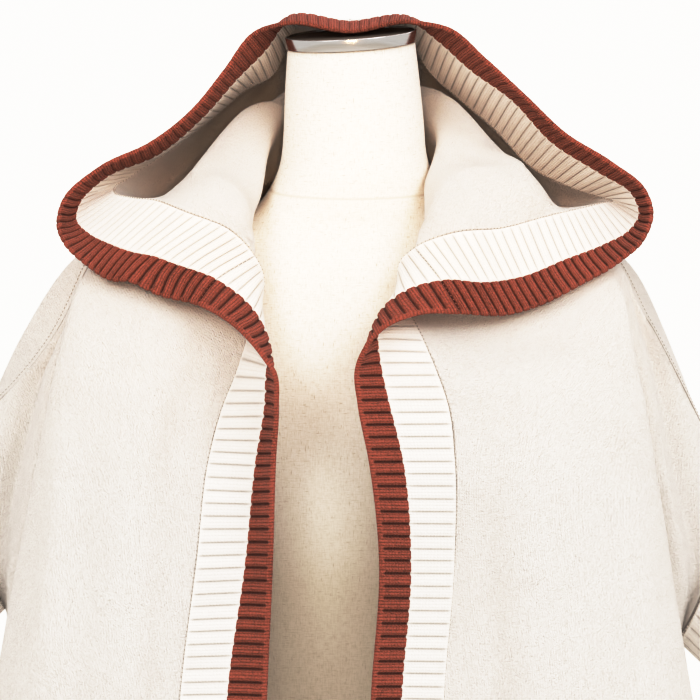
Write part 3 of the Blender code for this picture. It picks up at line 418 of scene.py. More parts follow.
HOOD_RIGHT = (
    ("joint", (60, -86, 1347), (57, -90, 1349), (55, -93, 1348), (53, -97, 1345),
     (52, -100, 1341), (51, -102, 1338)),
    ("low 1", (60, -68, 1364), (64, -80, 1372), (68, -88, 1371), (72, -95, 1366),
     (75, -99, 1360), (78, -102, 1353)),
    ("low 2", (60, -42, 1386), (84, -58, 1396), (96, -66, 1390), (104, -72, 1380),
     (109, -76, 1369), (113, -79, 1359)),
    ("low 3", (67, -14, 1408), (126, -24, 1405), (138, -32, 1396), (146, -39, 1385),
     (149, -43, 1376), (151, -46, 1367)),
    ("low 4", (70, 8, 1428), (114, 0, 1419), (136, 6, 1396), (152, 6, 1379),
     (164, -2, 1370), (174, -10, 1368)),
    ("high 1", (61, 36, 1442), (88, 22, 1453), (110, 38, 1406), (138, 54, 1370),
     (174, 62, 1366), (197, 50, 1374)),
    ("high 2", (54, 44, 1448), (79, 32, 1461), (98, 54, 1404), (122, 82, 1354),
     (158, 94, 1356), (177, 74, 1382)),
    ("high 3", (48, 50, 1450), (70, 42, 1466), (86, 70, 1404), (106, 108, 1340),
     (140, 122, 1350), (154, 90, 1392)),
    ("high 5", (26, 62, 1452), (46, 60, 1470), (52, 94, 1396), (60, 140, 1268),
     (98, 162, 1366), (99, 98, 1444)),
    ("top", (0, 70, 1440), (0, 78, 1462), (0, 112, 1384), (0, 156, 1236),
     (0, 176, 1390), (0, 82, 1512)),
)

# Front panel sections below the neck seam.  Columns: the place on the band table where
# the row starts, front, breast, ridge, valley, sleeve and end.
FRONT_LEFT = (
    (8.0, (-98, -88, 1304), (-122, -76, 1315), (-138, -56, 1330), (-145, -38, 1340),
     (-149, -18, 1348), (-150, 0, 1354)),
    (7.0, (-118, -108, 1276), (-165, -95, 1290), (-205, -62, 1315), (-199, -45, 1322),
     (-203, -30, 1326), (-201, -13, 1330)),
    (6.0, (-135, -122, 1243), (-182, -112, 1256), (-216, -82, 1282), (-206, -58, 1286),
     (-217, -42, 1288), (-221, -28, 1288)),
    (5.0, (-145, -130, 1215), (-192, -121, 1222), (-226, -94, 1236), (-213, -62, 1242),
     (-237, -46, 1244), (-253, -28, 1240)),
    (4.0, (-158, -138, 1176), (-206, -127, 1177), (-240, -98, 1168), (-226, -63, 1172),
     (-272, -44, 1178), (-322, -10, 1166)),
    (3.5, (-163, -146, 1135), (-213, -133, 1133), (-247, -98, 1128), (-233, -63, 1128),
     (-270, -56, 1122), (-298, -45, 1109)),
    (3.0, (-168, -154, 1096), (-221, -138, 1091), (-256, -98, 1085), (-242, -61, 1078),
     (-262, -38, 1066), (-275, -8, 1052)),
    (2.5, (-176, -160, 1042), (-230, -143, 1038), (-264, -98, 1036), (-250, -59, 1030),
     (-266, -32, 1026), (-276, -6, 1020)),
    (1.75, (-184, -164, 958), (-242, -145, 955), (-279, -100, 953), (-266, -60, 950),
     (-284, -30, 950), (-293, 2, 950)),
    (1.0, (-192, -166, 850), (-256, -147, 850), (-298, -102, 850), (-288, -60, 850),
     (-304, -30, 850), (-315, 4, 850)),
    (0.0, (-202, -168, 700), (-272, -149, 700), (-320, -104, 700), (-310, -62, 700),
     (-326, -30, 700), (-338, 4, 700)),
)
FRONT_RIGHT = (
    (9.0, (78, -88, 1308), (110, -74, 1316), (134, -56, 1329), (143, -38, 1340),
     (148, -18, 1348), (150, 0, 1354)),
    (8.0, (100, -102, 1274), (156, -79, 1288), (205, -56, 1313), (201, -44, 1321),
     (207, -30, 1327), (206, -13, 1331)),
    (7.0, (112, -125, 1246), (170, -108, 1256), (213, -78, 1282), (204, -58, 1286),
     (220, -42, 1290), (228, -28, 1290)),
    (5.5, (122, -140, 1218), (180, -124, 1222), (221, -92, 1240), (208, -62, 1244),
     (232, -46, 1250), (250, -28, 1252)),
    (4.0, (134, -149, 1166), (192, -134, 1168), (233, -98, 1170), (219, -63, 1168),
     (262, -44, 1158), (304, -10, 1136)),
    (3.5, (138, -146, 1130), (198, -136, 1126), (241, -98, 1124), (227, -63, 1118),
     (258, -56, 1104), (283, -45, 1081)),
    (3.0, (142, -148, 1094), (204, -140, 1088), (247, -97, 1080), (233, -61, 1070),
     (250, -38, 1052), (262, -8, 1026)),
    (2.5, (144, -152, 1042), (210, -143, 1036), (254, -96, 1030), (240, -59, 1020),
     (255, -32, 1006), (264, -6, 996)),
    (1.75, (150, -158, 958), (222, -145, 955), (268, -98, 950), (255, -60, 948),
     (272, -30, 946), (282, 2, 944)),
    (1.0, (158, -162, 850), (238, -147, 850), (288, -100, 850), (278, -60, 850),
     (294, -30, 850), (306, 4, 850)),
    (0.0, (168, -164, 700), (256, -149, 700), (310, -102, 700), (300, -62, 700),
     (316, -30, 700), (330, 4, 700)),
)

# Back panel sections below the neck seam.  Columns: centre back, then blade, shoulder
# and bulge on the left, then the same three on the right.  Ends come from the fronts.
BACK = (
    ((0, 88, 1368), (-55, 80, 1371), (-105, 52, 1370), (-135, 26, 1363),
     (55, 80, 1371), (105, 52, 1370), (135, 26, 1363)),
    ((0, 97, 1330), (-72, 93, 1334), (-158, 58, 1341), (-216, 16, 1336),
     (72, 93, 1334), (158, 58, 1341), (219, 15, 1333)),
    ((0, 104, 1290), (-84, 106, 1292), (-170, 80, 1297), (-246, 16, 1294),
     (84, 106, 1292), (169, 80, 1297), (238, 16, 1292)),
    ((0, 109, 1250), (-92, 114, 1250), (-188, 92, 1248), (-272, 26, 1248),
     (92, 114, 1250), (181, 92, 1248), (260, 24, 1242)),
    ((0, 111, 1198), (-98, 118, 1196), (-198, 98, 1190), (-288, 38, 1182),
     (96, 118, 1194), (191, 98, 1184), (279, 36, 1166)),
    ((0, 112, 1150), (-102, 121, 1146), (-206, 99, 1138), (-264, 58, 1124),
     (98, 121, 1142), (196, 99, 1126), (252, 56, 1102)),
    ((0, 112, 1098), (-106, 122, 1092), (-212, 98, 1080), (-256, 52, 1066),
     (102, 122, 1086), (200, 98, 1066), (244, 50, 1044)),
    ((0, 113, 1042), (-112, 123, 1038), (-218, 98, 1032), (-260, 48, 1026),
     (108, 123, 1032), (206, 98, 1016), (248, 46, 1004)),
    ((0, 116, 958), (-120, 127, 956), (-230, 101, 952), (-278, 51, 950),
     (116, 127, 952), (220, 101, 948), (268, 50, 946)),
    ((0, 121, 850), (-130, 133, 850), (-246, 105, 850), (-299, 54, 850),
     (126, 133, 850), (238, 105, 850), (290, 53, 850)),
    ((0, 127, 700), (-142, 141, 700), (-264, 110, 700), (-323, 57, 700),
     (138, 141, 700), (256, 110, 700), (315, 56, 700)),
)

# Cuffs: the highest and lowest points of the sleeve end, and the way the cuff runs.
CUFF_LEFT = ((-322, -10, 1166), (-275, -8, 1052), (-0.70, -0.05, -0.71))
CUFF_RIGHT = ((304, -10, 1136), (262, -8, 1026), (0.70, -0.05, -0.71))

# Dress form rings from the bottom up.  Columns: height, centre x, centre y, half width,
# half depth in front, half depth behind, squareness and share of the neck's tilt.
FORM = (
    (700, 0, 0, 160, 98, 104, 2.2, 0.0),
    (780, 0, 0, 166, 104, 110, 2.2, 0.0),
    (870, 0, 0, 146, 94, 92, 2.2, 0.0),
    (950, 0, 0, 122, 86, 76, 2.1, 0.0),
    (1030, 0, 0, 134, 98, 80, 2.1, 0.0),
    (1100, 0, 0, 152, 114, 88, 2.1, 0.0),
    (1150, 0, 0, 162, 118, 92, 2.2, 0.0),
    (1200, 0, 0, 168, 110, 94, 2.3, 0.0),
    (1250, 0, 0, 178, 98, 92, 2.5, 0.0),
    (1290, 0, 0, 184, 88, 86, 2.6, 0.0),
    (1317, 0, 0, 176, 81, 82, 2.5, 0.0),
    (1337, 0, 0, 148, 67, 76, 2.3, 0.0),
    (1353, 0, 0, 105, 59, 70, 2.1, 0.1),
    (1367, 1, 0, 82, 58, 66, 2.0, 0.2),
    (1380, 2, 0, 71, 57, 60, 2.0, 0.35),
    (1396, 3, 0, 63, 56, 57, 2.0, 0.5),
    (1412, 3, 0, 58, 53, 54, 2.0, 0.6),
    (1436, 3, 0, 56, 50, 51, 2.0, 0.7),
    (1466, 2, 0, 54, 49, 49, 2.0, 0.85),
    (1500, 1, 0, 51, 48, 48, 2.0, 1.0),
)


def smooth_rows(values, knots, at):
    """Pass a smooth curve through rows of values and read it at new places."""
    values = np.asarray(values, dtype=float)
    knots = np.asarray(knots, dtype=float)
    at = np.clip(np.asarray(at, dtype=float), knots[0], knots[-1])
    slopes = np.gradient(values, knots, axis=0)
    index = np.clip(np.searchsorted(knots, at, side="right") - 1, 0, len(knots) - 2)
    span = knots[index + 1] - knots[index]
    shape = (-1,) + (1,) * (values.ndim - 1)
    share = ((at - knots[index]) / span).reshape(shape)
    span = span.reshape(shape)
    square = share * share
    cube = square * share
    start = (2 * cube - 3 * square + 1) * values[index]
    start_slope = (cube - 2 * square + share) * span * slopes[index]
    end = (3 * square - 2 * cube) * values[index + 1]
    end_slope = (cube - square) * span * slopes[index + 1]
    return start + start_slope + end + end_slope


def chord_knots(points):
    """Number the rows of a curve by the distance along it."""
    steps = np.linalg.norm(np.diff(np.asarray(points, dtype=float), axis=0), axis=-1)
    return np.concatenate(([0.0], np.cumsum(steps)))


def unit(vectors):
    """Scale vectors to length one."""
    return vectors / np.maximum(np.linalg.norm(vectors, axis=-1, keepdims=True), 1e-9)


def soft_step(share):
    """Ease a share that runs from 0 to 1 at both ends."""
    return share * share * (3 - 2 * share)


class BandPath:
    """The bands' course from the left hem over the hood to the right hem."""

    def __init__(self):
        rows = BAND_LEFT + BAND_RIGHT[::-1]
        self.last = len(rows) - 1
        self.table = np.array([row[1:] for row in rows], dtype=float)
        self.knots = chord_knots(self.table[:, 1])
        self.left = {row[0]: number for number, row in enumerate(BAND_LEFT)}
        self.right = {row[0]: self.last - number for number, row in enumerate(BAND_RIGHT)}
        self.right["top"] = self.left["top"]

    def place(self, row_number):
        """Distance along the path of a row number, which may fall between rows."""
        return np.interp(row_number, range(len(self.knots)), self.knots)

    def rails(self, at):
        """Edge, colour line and seam points with their wall directions."""
        points, ahead, behind = (smooth_rows(self.table, self.knots, np.asarray(at) + step)
                                 for step in (0.0, 1.0, -1.0))
        along = unit(ahead - behind)
        rust = unit(np.cross(along[:, 0], unit(points[:, 1] - points[:, 0])))
        cream = unit(np.cross(along[:, 2], unit(points[:, 2] - points[:, 1])))
        return points, np.stack((rust, unit(rust + cream), cream), axis=1)

    def beyond(self, rows, name):
        """A soft step from 0 to 1 along the path, round a named section."""
        middle = self.place(rows[name])
        return lambda at: soft_step(np.clip((at - middle) / TWIST_LENGTH + 0.5, 0, 1))

    def between(self, name):
        """A share that is 1 between a named section of the left side and of the right."""
        start, end = self.beyond(self.left, name), self.beyond(self.right, name)
        return lambda at: start(at) * (1 - end(at))


def loft(rows, row_count, column_count):
    """Loft rows of section points into an even grid."""
    grid = np.asarray(rows, dtype=float)
    for count in (row_count, column_count):
        knots = np.arange(len(grid))
        grid = smooth_rows(grid, knots, np.linspace(0, knots[-1], count)).transpose(1, 0, 2)
    return grid


def cuff_ring(spec, angles, shrink=1.0):
    """Points of a sleeve end: a flattened ring through its highest and lowest points."""
    top, bottom = np.array(spec[:2], dtype=float)
    rise = np.cos(angles)[:, None] * (top - bottom) / 2
    fall = -np.sin(angles)[:, None] * np.array((0.0, CUFF_DEPTH, 0.0))
    return (top + bottom) / 2 + (rise + fall) * shrink


def ease_column(grid, target, column, reach=EASE_COLUMNS, rows=slice(None)):
    """Set an outermost column of a grid and fade the move into its neighbours."""
    move = target - grid[rows, column]
    step = 1 if column == 0 else -1
    for k in range(reach):
        grid[rows, column + step * k] += move * (1 - k / reach)


def fit_sleeve_end(grid, spec, half_turn, column, reach):
    """Carry a panel's end onto the cuff's ring and fade the move into the panel."""
    places = np.linspace(0, len(FRONT_LEFT), len(grid))
    first, final = (int(np.argmin(abs(places - row))) for row in CUFF_ROWS)
    ring = cuff_ring(spec, half_turn * np.linspace(0, math.pi, final - first + 1))
    ease_column(grid, ring, column, reach, slice(first, final + 1))


def neck_curve(table, at):
    """Points of the neck seam."""
    return smooth_rows(table, np.arange(len(table)), at)


def seam_points(path, places, count):
    """Points of the band seam where a panel's rows start or end."""
    rows = np.linspace(0, len(places) - 1, count)
    return path.rails(np.interp(rows, range(len(places)), places))[0][:, 2]


def front_grid(path, table, neck, names, cuff):
    """Mid-surface of one front panel with its half of the sleeve."""
    rows = [neck_curve(neck, np.linspace(0, SHOULDER_ON_NECK, len(table[0])))]
    places = [path.place(names["joint"])]
    for start, *section in table:
        places.append(path.place(start if names is path.left else path.last - start))
        rows.append([path.rails(places[-1:])[0][0, 2], *section])
    grid = loft(rows, *FRONT_COARSE)
    ease_column(grid, seam_points(path, places, FRONT_COARSE[0]), 0)
    fit_sleeve_end(grid, cuff, 1, -1, FRONT_SLEEVE_REACH)
    grid = loft(grid, *FRONT_FINE)
    ease_column(grid, seam_points(path, places, FRONT_FINE[0]), 0, SEAM_REACH)
    return grid


def back_grid(left, right):
    """Mid-surface of the back panel with both half sleeves, between the two fronts."""
    half = len(BACK[0]) // 2 + 2
    neck = [*neck_curve(NECK_LEFT, np.linspace(SHOULDER_ON_NECK, NECK_LAST, half)),
            *neck_curve(NECK_RIGHT, np.linspace(NECK_LAST, SHOULDER_ON_NECK, half))[1:]]
    rows = [neck]
    for row, left_row, right_row in zip(BACK, FRONT_LEFT, FRONT_RIGHT):
        rows.append([left_row[-1], *row[3:0:-1], row[0], *row[4:], right_row[-1]])
    coarse = FRONT_FINE[0] // (FRONT_COARSE[0] - 1)
    grid = loft(rows, *BACK_COARSE)
    for column, end in ((0, left), (-1, right)):
        ease_column(grid, end[::coarse, -1], column)
    for column, cuff in ((0, CUFF_LEFT), (-1, CUFF_RIGHT)):
        fit_sleeve_end(grid, cuff, -1, column, BACK_SLEEVE_REACH)
    grid = loft(grid, *BACK_FINE)
    for column, end in ((0, left), (-1, right)):
        ease_column(grid, end[:, -1], column, SEAM_REACH)
    return grid


def hood_grid(path, table, neck, names):
    """Mid-surface of one hood half, from the neck seam to the band seam."""
    places = [path.place(names[row[0]]) for row in table]
    base = neck_curve(neck, np.linspace(1, len(neck) - 1, len(table))) + (0, 0, NECK_SEAM_LIFT)
    ends = path.rails(places)[0][:, 2]
    grid = loft([[low, *row[1:], end] for low, row, end in zip(base, table, ends)], *HOOD_COARSE)
    ease_column(grid, seam_points(path, places, HOOD_COARSE[0]), -1)
    grid = loft(grid, *HOOD_FINE)
    ease_column(grid, seam_points(path, places, HOOD_FINE[0]), -1, SEAM_REACH)
    return grid


def normals_of(grid):
    """Wall direction at each point of a grid."""
    return unit(np.cross(np.gradient(grid, axis=0), np.gradient(grid, axis=1)))


def calm_shares(grid, from_top=0.0):
    """Shares that rise from 0 at a panel's sides and top to 1 a little way in."""
    down = np.linspace(0, 1, grid.shape[0])[:, None]
    across = np.linspace(0, 1, grid.shape[1])[None, :]
    share = np.clip(across / CALM_SHARE, 0, 1) * np.clip((1 - across) / CALM_SHARE, 0, 1)
    return share * np.clip((down - from_top) / CALM_SHARE, 0, 1)


def smooth_down(grid):
    """Even out a panel's hang down its length, away from its seams and the shoulder."""
    share = calm_shares(grid, EVEN_FROM)[1:-1, :, None]
    grid = grid.copy()
    for _ in range(EVEN_PASSES):
        mean = (grid[:-2] + 2 * grid[1:-1] + grid[2:]) / 4
        grid[1:-1] += (mean - grid[1:-1]) * share
    return grid


def fold_line(grid, points):
    """Points of the cloth under a line that is drawn as seen from the front."""
    points = np.asarray(points, dtype=float)
    knots = chord_knots(points)
    line = smooth_rows(points, knots, np.linspace(0, knots[-1], LINE_SAMPLES))
    flat = grid.reshape(-1, 3)
    gaps = ((flat[None, :, 0::2] - line[:, None]) ** 2).sum(axis=-1)
    weight = np.exp((gaps.min(axis=1)[:, None] - gaps) / LINE_REACH ** 2)
    return weight @ flat / weight.sum(axis=1)[:, None]


def near_line(grid, line):
    """Distance from each point of a grid to a line, and the share of the line it lies at."""
    steps = line[1:] - line[:-1]
    away = grid[:, :, None] - line[:-1]
    share = np.clip((away * steps).sum(axis=-1) / (steps ** 2).sum(axis=-1), 0, 1)
    gaps = np.linalg.norm(away - share[..., None] * steps, axis=-1)
    nearest = gaps.argmin(axis=-1)
    part = np.take_along_axis(share, nearest[..., None], axis=-1)[..., 0]
    return gaps.min(axis=-1), (nearest + part) / len(steps)


def add_folds(grid, folds, outward):
    """Push soft troughs and ridges into a panel, fading out towards its seams."""
    lift = 0.0
    for depth, half_width, points in folds:
        gaps, share = near_line(grid, fold_line(grid, points))
        inside = np.clip(share * (1 - 2 * FOLD_END) + FOLD_END, 0, 1)
        fade = np.sin(np.pi * inside) ** FOLD_FADE
        if points[-1][1] < HEM_HEIGHT:
            fade = np.where(share > 0.5, 1.0, fade)
        lift += depth * fade * np.exp(-(gaps / half_width) ** 2)
    lift *= soft_step(calm_shares(grid))
    return grid + normals_of(grid) * outward * lift[..., None]


def add_unevenness(grid, size, amount, seed):
    """Small uneven swells, as felted knit never lies quite flat."""
    shift = Vector((seed * 7.3, seed * 3.1, seed * 5.7))
    flat = [noise.noise(Vector(p) / size + shift) for p in grid.reshape(-1, 3)]
    return grid + normals_of(grid) * amount * np.array(flat).reshape(grid.shape[:2] + (1,))


def wall_loops(mid, normals, top, under, near_reach, far_reach):
    """Cross-section loops of a cloth wall: outer face, far rim, inner face, near rim."""
    def rim(column, inside, reach, turns):
        way = unit(mid[:, column] - mid[:, inside])
        points = []
        for turn in turns:
            height = top[:, column] if turn >= 0 else under[:, column]
            rise = normals[:, column] * (height * math.sin(turn))[:, None]
            points.append(mid[:, column] + rise + way * (reach * math.cos(turn))[:, None])
        return np.stack(points, axis=1)

    turns = [math.radians(a) for a in RIM_TURNS]
    outer = mid + normals * top[..., None]
    inner = mid - normals * under[..., None]
    return np.concatenate((outer, rim(-1, -2, far_reach, turns), inner[:, ::-1],
                           rim(0, 1, near_reach, turns[::-1])), axis=1)


def path_lengths(points, axis):
    """Running length along one axis of a grid of points."""
    steps = np.linalg.norm(np.diff(points, axis=axis), axis=-1)
    start = np.zeros_like(np.take(steps, [0], axis=axis))
    return np.concatenate((start, np.cumsum(steps, axis=axis)), axis=axis)


def add_piece(name, points, faces, material, uv=None, groove=None):
    """Make one piece from points in metres, facing outwards, with its map and grooves."""
    mesh = bpy.data.meshes.new(name)
    mesh.from_pydata(points, [], faces)
    if uv is not None:
        layer = mesh.uv_layers.new(name="cloth")
        layer.uv.foreach_set("vector", uv.astype(np.float32).ravel())
        depth = mesh.attributes.new("groove", "FLOAT", "POINT")
        depth.data.foreach_set("value", groove.astype(np.float32).ravel())
    bm = bmesh.new()
    bm.from_mesh(mesh)
    bmesh.ops.recalc_face_normals(bm, faces=bm.faces[:])
    bm.to_mesh(mesh)
    bm.free()
    mesh.shade_smooth()
    mesh.materials.append(material)
    item = bpy.data.objects.new(name, mesh)
    bpy.context.scene.collection.objects.link(item)
    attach(item, "root")
    return item


def skin(name, node, loops, material, slot_name, groove, wrap=False, wales_across=False,
         counted=None, middle=0, flat_ends=False):
    """Close a row of cross-section loops into one wall with a cloth map in metres."""
    count, around = loops.shape[:2]
    ringed = np.concatenate((loops, loops[:, :1]), axis=1)
    if wrap:
        ringed = np.concatenate((ringed, ringed[:1]), axis=0)
    along = path_lengths(ringed, 0) * MM
    if counted is not None:
        along = np.repeat(counted[:, None], around + 1, axis=1) * MM
    round_it = path_lengths(ringed, 1) * MM
    round_it = round_it - round_it[:, middle:middle + 1]
    i = np.arange(count if wrap else count - 1)[:, None]
    k = np.arange(around)[None, :]
    after_i = (i + 1) % count
    after_k = (k + 1) % around
    faces = np.stack((i * around + k, i * around + after_k, after_i * around + after_k,
                      after_i * around + k), axis=-1).reshape(-1, 4).tolist()
    cloth_map = np.stack((round_it, along) if wales_across else (along, round_it), axis=-1)
    corners = ((i, k), (i, k + 1), (i + 1, k + 1), (i + 1, k))
    uv = np.stack([cloth_map[a, b] for a, b in corners], axis=2).reshape(-1, 2)
    if not wrap:
        ends = ((0, np.arange(around)[::-1]), (-1, np.arange(around)))
        faces += [(number % count * around + loop).tolist() for number, loop in ends]
        caps = loops[..., :2] * MM if flat_ends else cloth_map
        uv = np.concatenate([uv] + [caps[number, loop] for number, loop in ends])
    item = add_piece(name, (loops.reshape(-1, 3) * MM).tolist(), faces, material,
                     uv, groove)
    if not wrap:
        for number in (-1, -2):
            item.data.polygons[number].use_smooth = False
    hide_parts(node)
    return item


def draw_in(grid, amount):
    """Draw the four rims of a grid in, so that the rounded rims end at the seams."""
    for _ in range(2):
        for end, step in ((0, 1), (-1, -1)):
            way = unit(grid[end + step] - grid[end])
            for k in range(DRAW_COLUMNS):
                grid[end + step * k] += way * amount * (1 - k / DRAW_COLUMNS)
        grid = grid.transpose(1, 0, 2)
    return grid


def make_panel(node, grid, outward, material, wales_across=True, seam_shade_share=(0, 0)):
    """One plain cloth panel with rounded rims all round, two of them darkened by painted shade at
    the seams.
    """
    half = BODY_WALL / 2
    grid = draw_in(grid.copy(), half - RIM_BITE)
    normals = normals_of(grid) * outward
    turns = [math.radians(a) for a in END_TURNS]

    def end_rows(end, inside, angles):
        way = unit(grid[inside] - grid[end]) * half
        return [(grid[end] - way * math.sin(a), normals[end], math.cos(a)) for a in angles]

    rows = [*end_rows(0, 1, turns[::-1]), *((p, n, 1.0) for p, n in zip(grid, normals)),
            *end_rows(-1, -2, turns)]
    mid, ways, thick = (np.array(column) for column in zip(*rows))
    thick = half * thick
    full = np.repeat(thick[:, None], mid.shape[1], axis=1)
    loops = wall_loops(mid, ways, full, full, thick, thick)
    plain = np.zeros(mid.shape[:2])
    # Painted shade: the seam rims take the deep colour by these shares.
    near, far = (np.outer(np.ones(len(mid)), np.array(PAINTED_SEAM_SHADE) * c) for c in seam_shade_share)
    painted_crease_shade = np.concatenate((plain, far, plain, near), axis=1)
    return skin(node + "_cloth", node, loops, material, "cream_knit", painted_crease_shade,
                wales_across=wales_across)


def rib_stations(start, end, profile, seed, pitch=RIB_PITCH):
    """Places along a band, the share of the rib's height and the ribs counted so far."""
    ribs = 2 * round((end - start) / pitch / 2)
    pitch = (end - start) / ribs
    uneven = np.random.default_rng(seed)
    wander = uneven.uniform(-RIB_WANDER, RIB_WANDER, ribs + 1)
    wander[[0, -1]] = 0.0
    tall = uneven.uniform(1 - RIB_UNEVEN, 1.0, ribs)
    offsets, shape = np.array(profile).T
    drift = wander[:-1, None] * (1 - offsets) + wander[1:, None] * offsets
    counted = np.arange(ribs)[:, None] + offsets
    places = np.append(start + counted * pitch + drift, end)
    heights = np.append(shape * tall[:, None], 0.0)
    return places, heights, np.append(counted, ribs) * RIB_PITCH


def ribbed_wall(name, node, mid, normals, heights, ribbed, reaches, relief, outer, material,
                slot_name, **closing):
    """A ribbed strip, its ribs raised on the face that shows and only grooved on the other."""
    rise = relief * (heights[:, None] * ribbed + EDGE_LEVEL * (1 - ribbed))
    groove = (1 - heights[:, None]) * ribbed
    plain = BAND_WALL / 2 * (1 - HIDDEN_GROOVE * groove)
    top = plain + rise * outer
    under = plain + rise * (1 - outer)
    loops = wall_loops(mid, normals, top, under, *reaches(top, under, groove))
    # The groove share also goes into the colour: painted shade down in the rib grooves, on both
    # faces and on the rims.
    far, near = (np.repeat(groove[:, k], len(RIM_TURNS), axis=1) for k in ([-1], [0]))
    depth = np.concatenate((groove, far, groove[:, ::-1], near), axis=1)
    return skin(name, node, loops, material, slot_name, depth, **closing)


def make_band(node, path, rows, rust, pitch, shown, seed, material):
    """A ribbed band between two rails, ribbed deeper on the face that shows."""
    rail = 0 if rust else 1
    start, end = (path.place(row) for row in rows)
    places, heights, counted = rib_stations(start + BAND_END_GAP, end - BAND_END_GAP,
                                            RUST_PROFILE if rust else CREAM_PROFILE, seed, pitch)
    columns = np.array(RUST_COLUMNS if rust else CREAM_COLUMNS).T
    shares = rail + columns[0] / BAND_WIDTHS[rail]
    on_hood = path.between("joint")(places)[:, None]
    ribbed = columns[1] + (columns[-1] - columns[1]) * on_hood
    if rust:
        ribbed = ribbed * (1 - TOP_CALM * path.between("high 1")(places)[:, None])
    rails = path.rails(places)[0].transpose(1, 0, 2)
    mid = smooth_rows(rails, (0, 1, 2), shares).transpose(1, 0, 2)
    wide = np.sort(np.concatenate((shares, (rail, rail + 1))))
    normals = normals_of(smooth_rows(rails, (0, 1, 2), wide).transpose(1, 0, 2))
    normals = calm_normals(normals[:, np.searchsorted(wide, shares)])

    def reaches(top, under, groove):
        thick = (top + under) / 2
        if rust:
            return thick[:, 0] * (1 - EDGE_SCALLOP * groove[:, 0]), BUTT_REACH + SCALLOP * heights
        return np.full(len(places), BUTT_REACH), thick[:, -1] * SEAM_SQUEEZE

    return ribbed_wall(node + "_knit", node, mid, normals, heights, ribbed, reaches,
                       RIB_HEIGHT if rust else CREAM_RELIEF, shown(places)[:, None], material,
                       "rust_knit" if rust else "cream_knit", counted=counted)


def calm_normals(normals):
    """Even out the wall directions over about one rib."""
    stations = np.arange(len(normals))
    return unit(sum(normals[np.clip(stations + shift, 0, len(normals) - 1)]
                    for shift in range(-CALM_STATIONS, CALM_STATIONS + 1)))


def make_cuff(node, spec, seed, material):
    """A ribbed tube that runs on from the sleeve end, bound off at its far edge."""
    way = unit(np.array(spec[2], dtype=float))
    girth = CUFF_RIBS * RIB_PITCH
    places, heights, counted = rib_stations(0.0, girth, CREAM_PROFILE, seed)
    angles = places[:-1] / girth * 2 * math.pi
    near = cuff_ring(spec, angles) + way * SEAM_GAP
    far = cuff_ring(spec, angles, CUFF_END_SHARE) + way * CUFF_LENGTH
    shares, ribbed = np.array(CUFF_COLUMNS).T
    shares = shares / CUFF_LENGTH
    along = np.roll(near, -1, axis=0) - np.roll(near, 1, axis=0)
    outward = unit(np.cross(along, far - near))
    outward = outward * np.sign(np.sum(outward * (near - near.mean(axis=0)), axis=1))[:, None]
    normals = np.repeat(outward[:, None], len(shares), axis=1)
    mid = near[:, None] + (far - near)[:, None] * shares[None, :, None]
    mid = mid + normals * (CUFF_SWELL * np.sin(np.pi * shares))[None, :, None]
    return ribbed_wall(node + "_knit", node, mid, normals, heights[:-1], ribbed,
                       lambda top, under, groove: (top[:, 0] * CUFF_SQUEEZE, top[:, -1]),
                       CREAM_RELIEF, 1.0, material, "cream_knit", wrap=True, counted=counted)


def model_stitch(length, width):
    """One plump stitch, modelled once; its mesh is copied along the seams."""
    bpy.ops.object.select_all(action="DESELECT")
    bpy.ops.mesh.primitive_uv_sphere_add(segments=6, ring_count=4, radius=0.5)
    item = bpy.context.object
    bpy.ops.object.mode_set(mode="EDIT")
    bpy.ops.transform.resize(value=(width * MM, width * MM, length * MM))
    bpy.ops.object.mode_set(mode="OBJECT")
    points = np.array([v.co[:] for v in item.data.vertices])
    faces = [list(p.vertices) for p in item.data.polygons]
    spent = item.data
    bpy.data.objects.remove(item)
    bpy.data.meshes.remove(spent)
    return points, faces


def stitch_row(name, lines, stitch, material, pitch=LINK_PITCH, lean=LINK_LEAN):
    """Rows of separate stitches along lines of points with their surface directions."""
    shape, shape_faces = stitch
    verts = []
    faces = []
    for points, normals in lines:
        knots = chord_knots(points)
        count = max(2, int(knots[-1] / pitch))
        at = (np.arange(count) + 0.5) * knots[-1] / count
        place = smooth_rows(points, knots, at) * MM
        up = unit(smooth_rows(normals, knots, at))
        ahead = unit(np.gradient(place, axis=0))
        turned = ahead * math.cos(lean) + unit(np.cross(up, ahead)) * math.sin(lean)
        other = unit(np.cross(up, turned))
        for k in range(count):
            base = len(verts)
            spot = shape[:, :1] * other[k] + shape[:, 1:2] * up[k] + shape[:, 2:] * turned[k]
            verts.extend((spot + place[k]).tolist())
            faces.extend([[base + v for v in face] for face in shape_faces])
    add_piece(name, verts, faces, material)


def inset_line(grid, outward, inset, end):
    """A line at a set distance inside one side of a panel, and its wall directions."""
    normals = normals_of(grid) * outward
    if end:
        grid, normals = grid[:, ::-1], normals[:, ::-1]
    points = [[np.interp(inset, far, row[:, axis]) for axis in range(3)]
              for far, row in zip(path_lengths(grid, 1), grid)]
    return np.array(points), normals[:, 1]


def both_faces(points, normals, lift=BODY_WALL / 2 + THREAD_LIFT):
    """The same line on the outer and on the inner face of the cloth."""
    return [(points + normals * lift, normals), (points - normals * lift, -normals)]


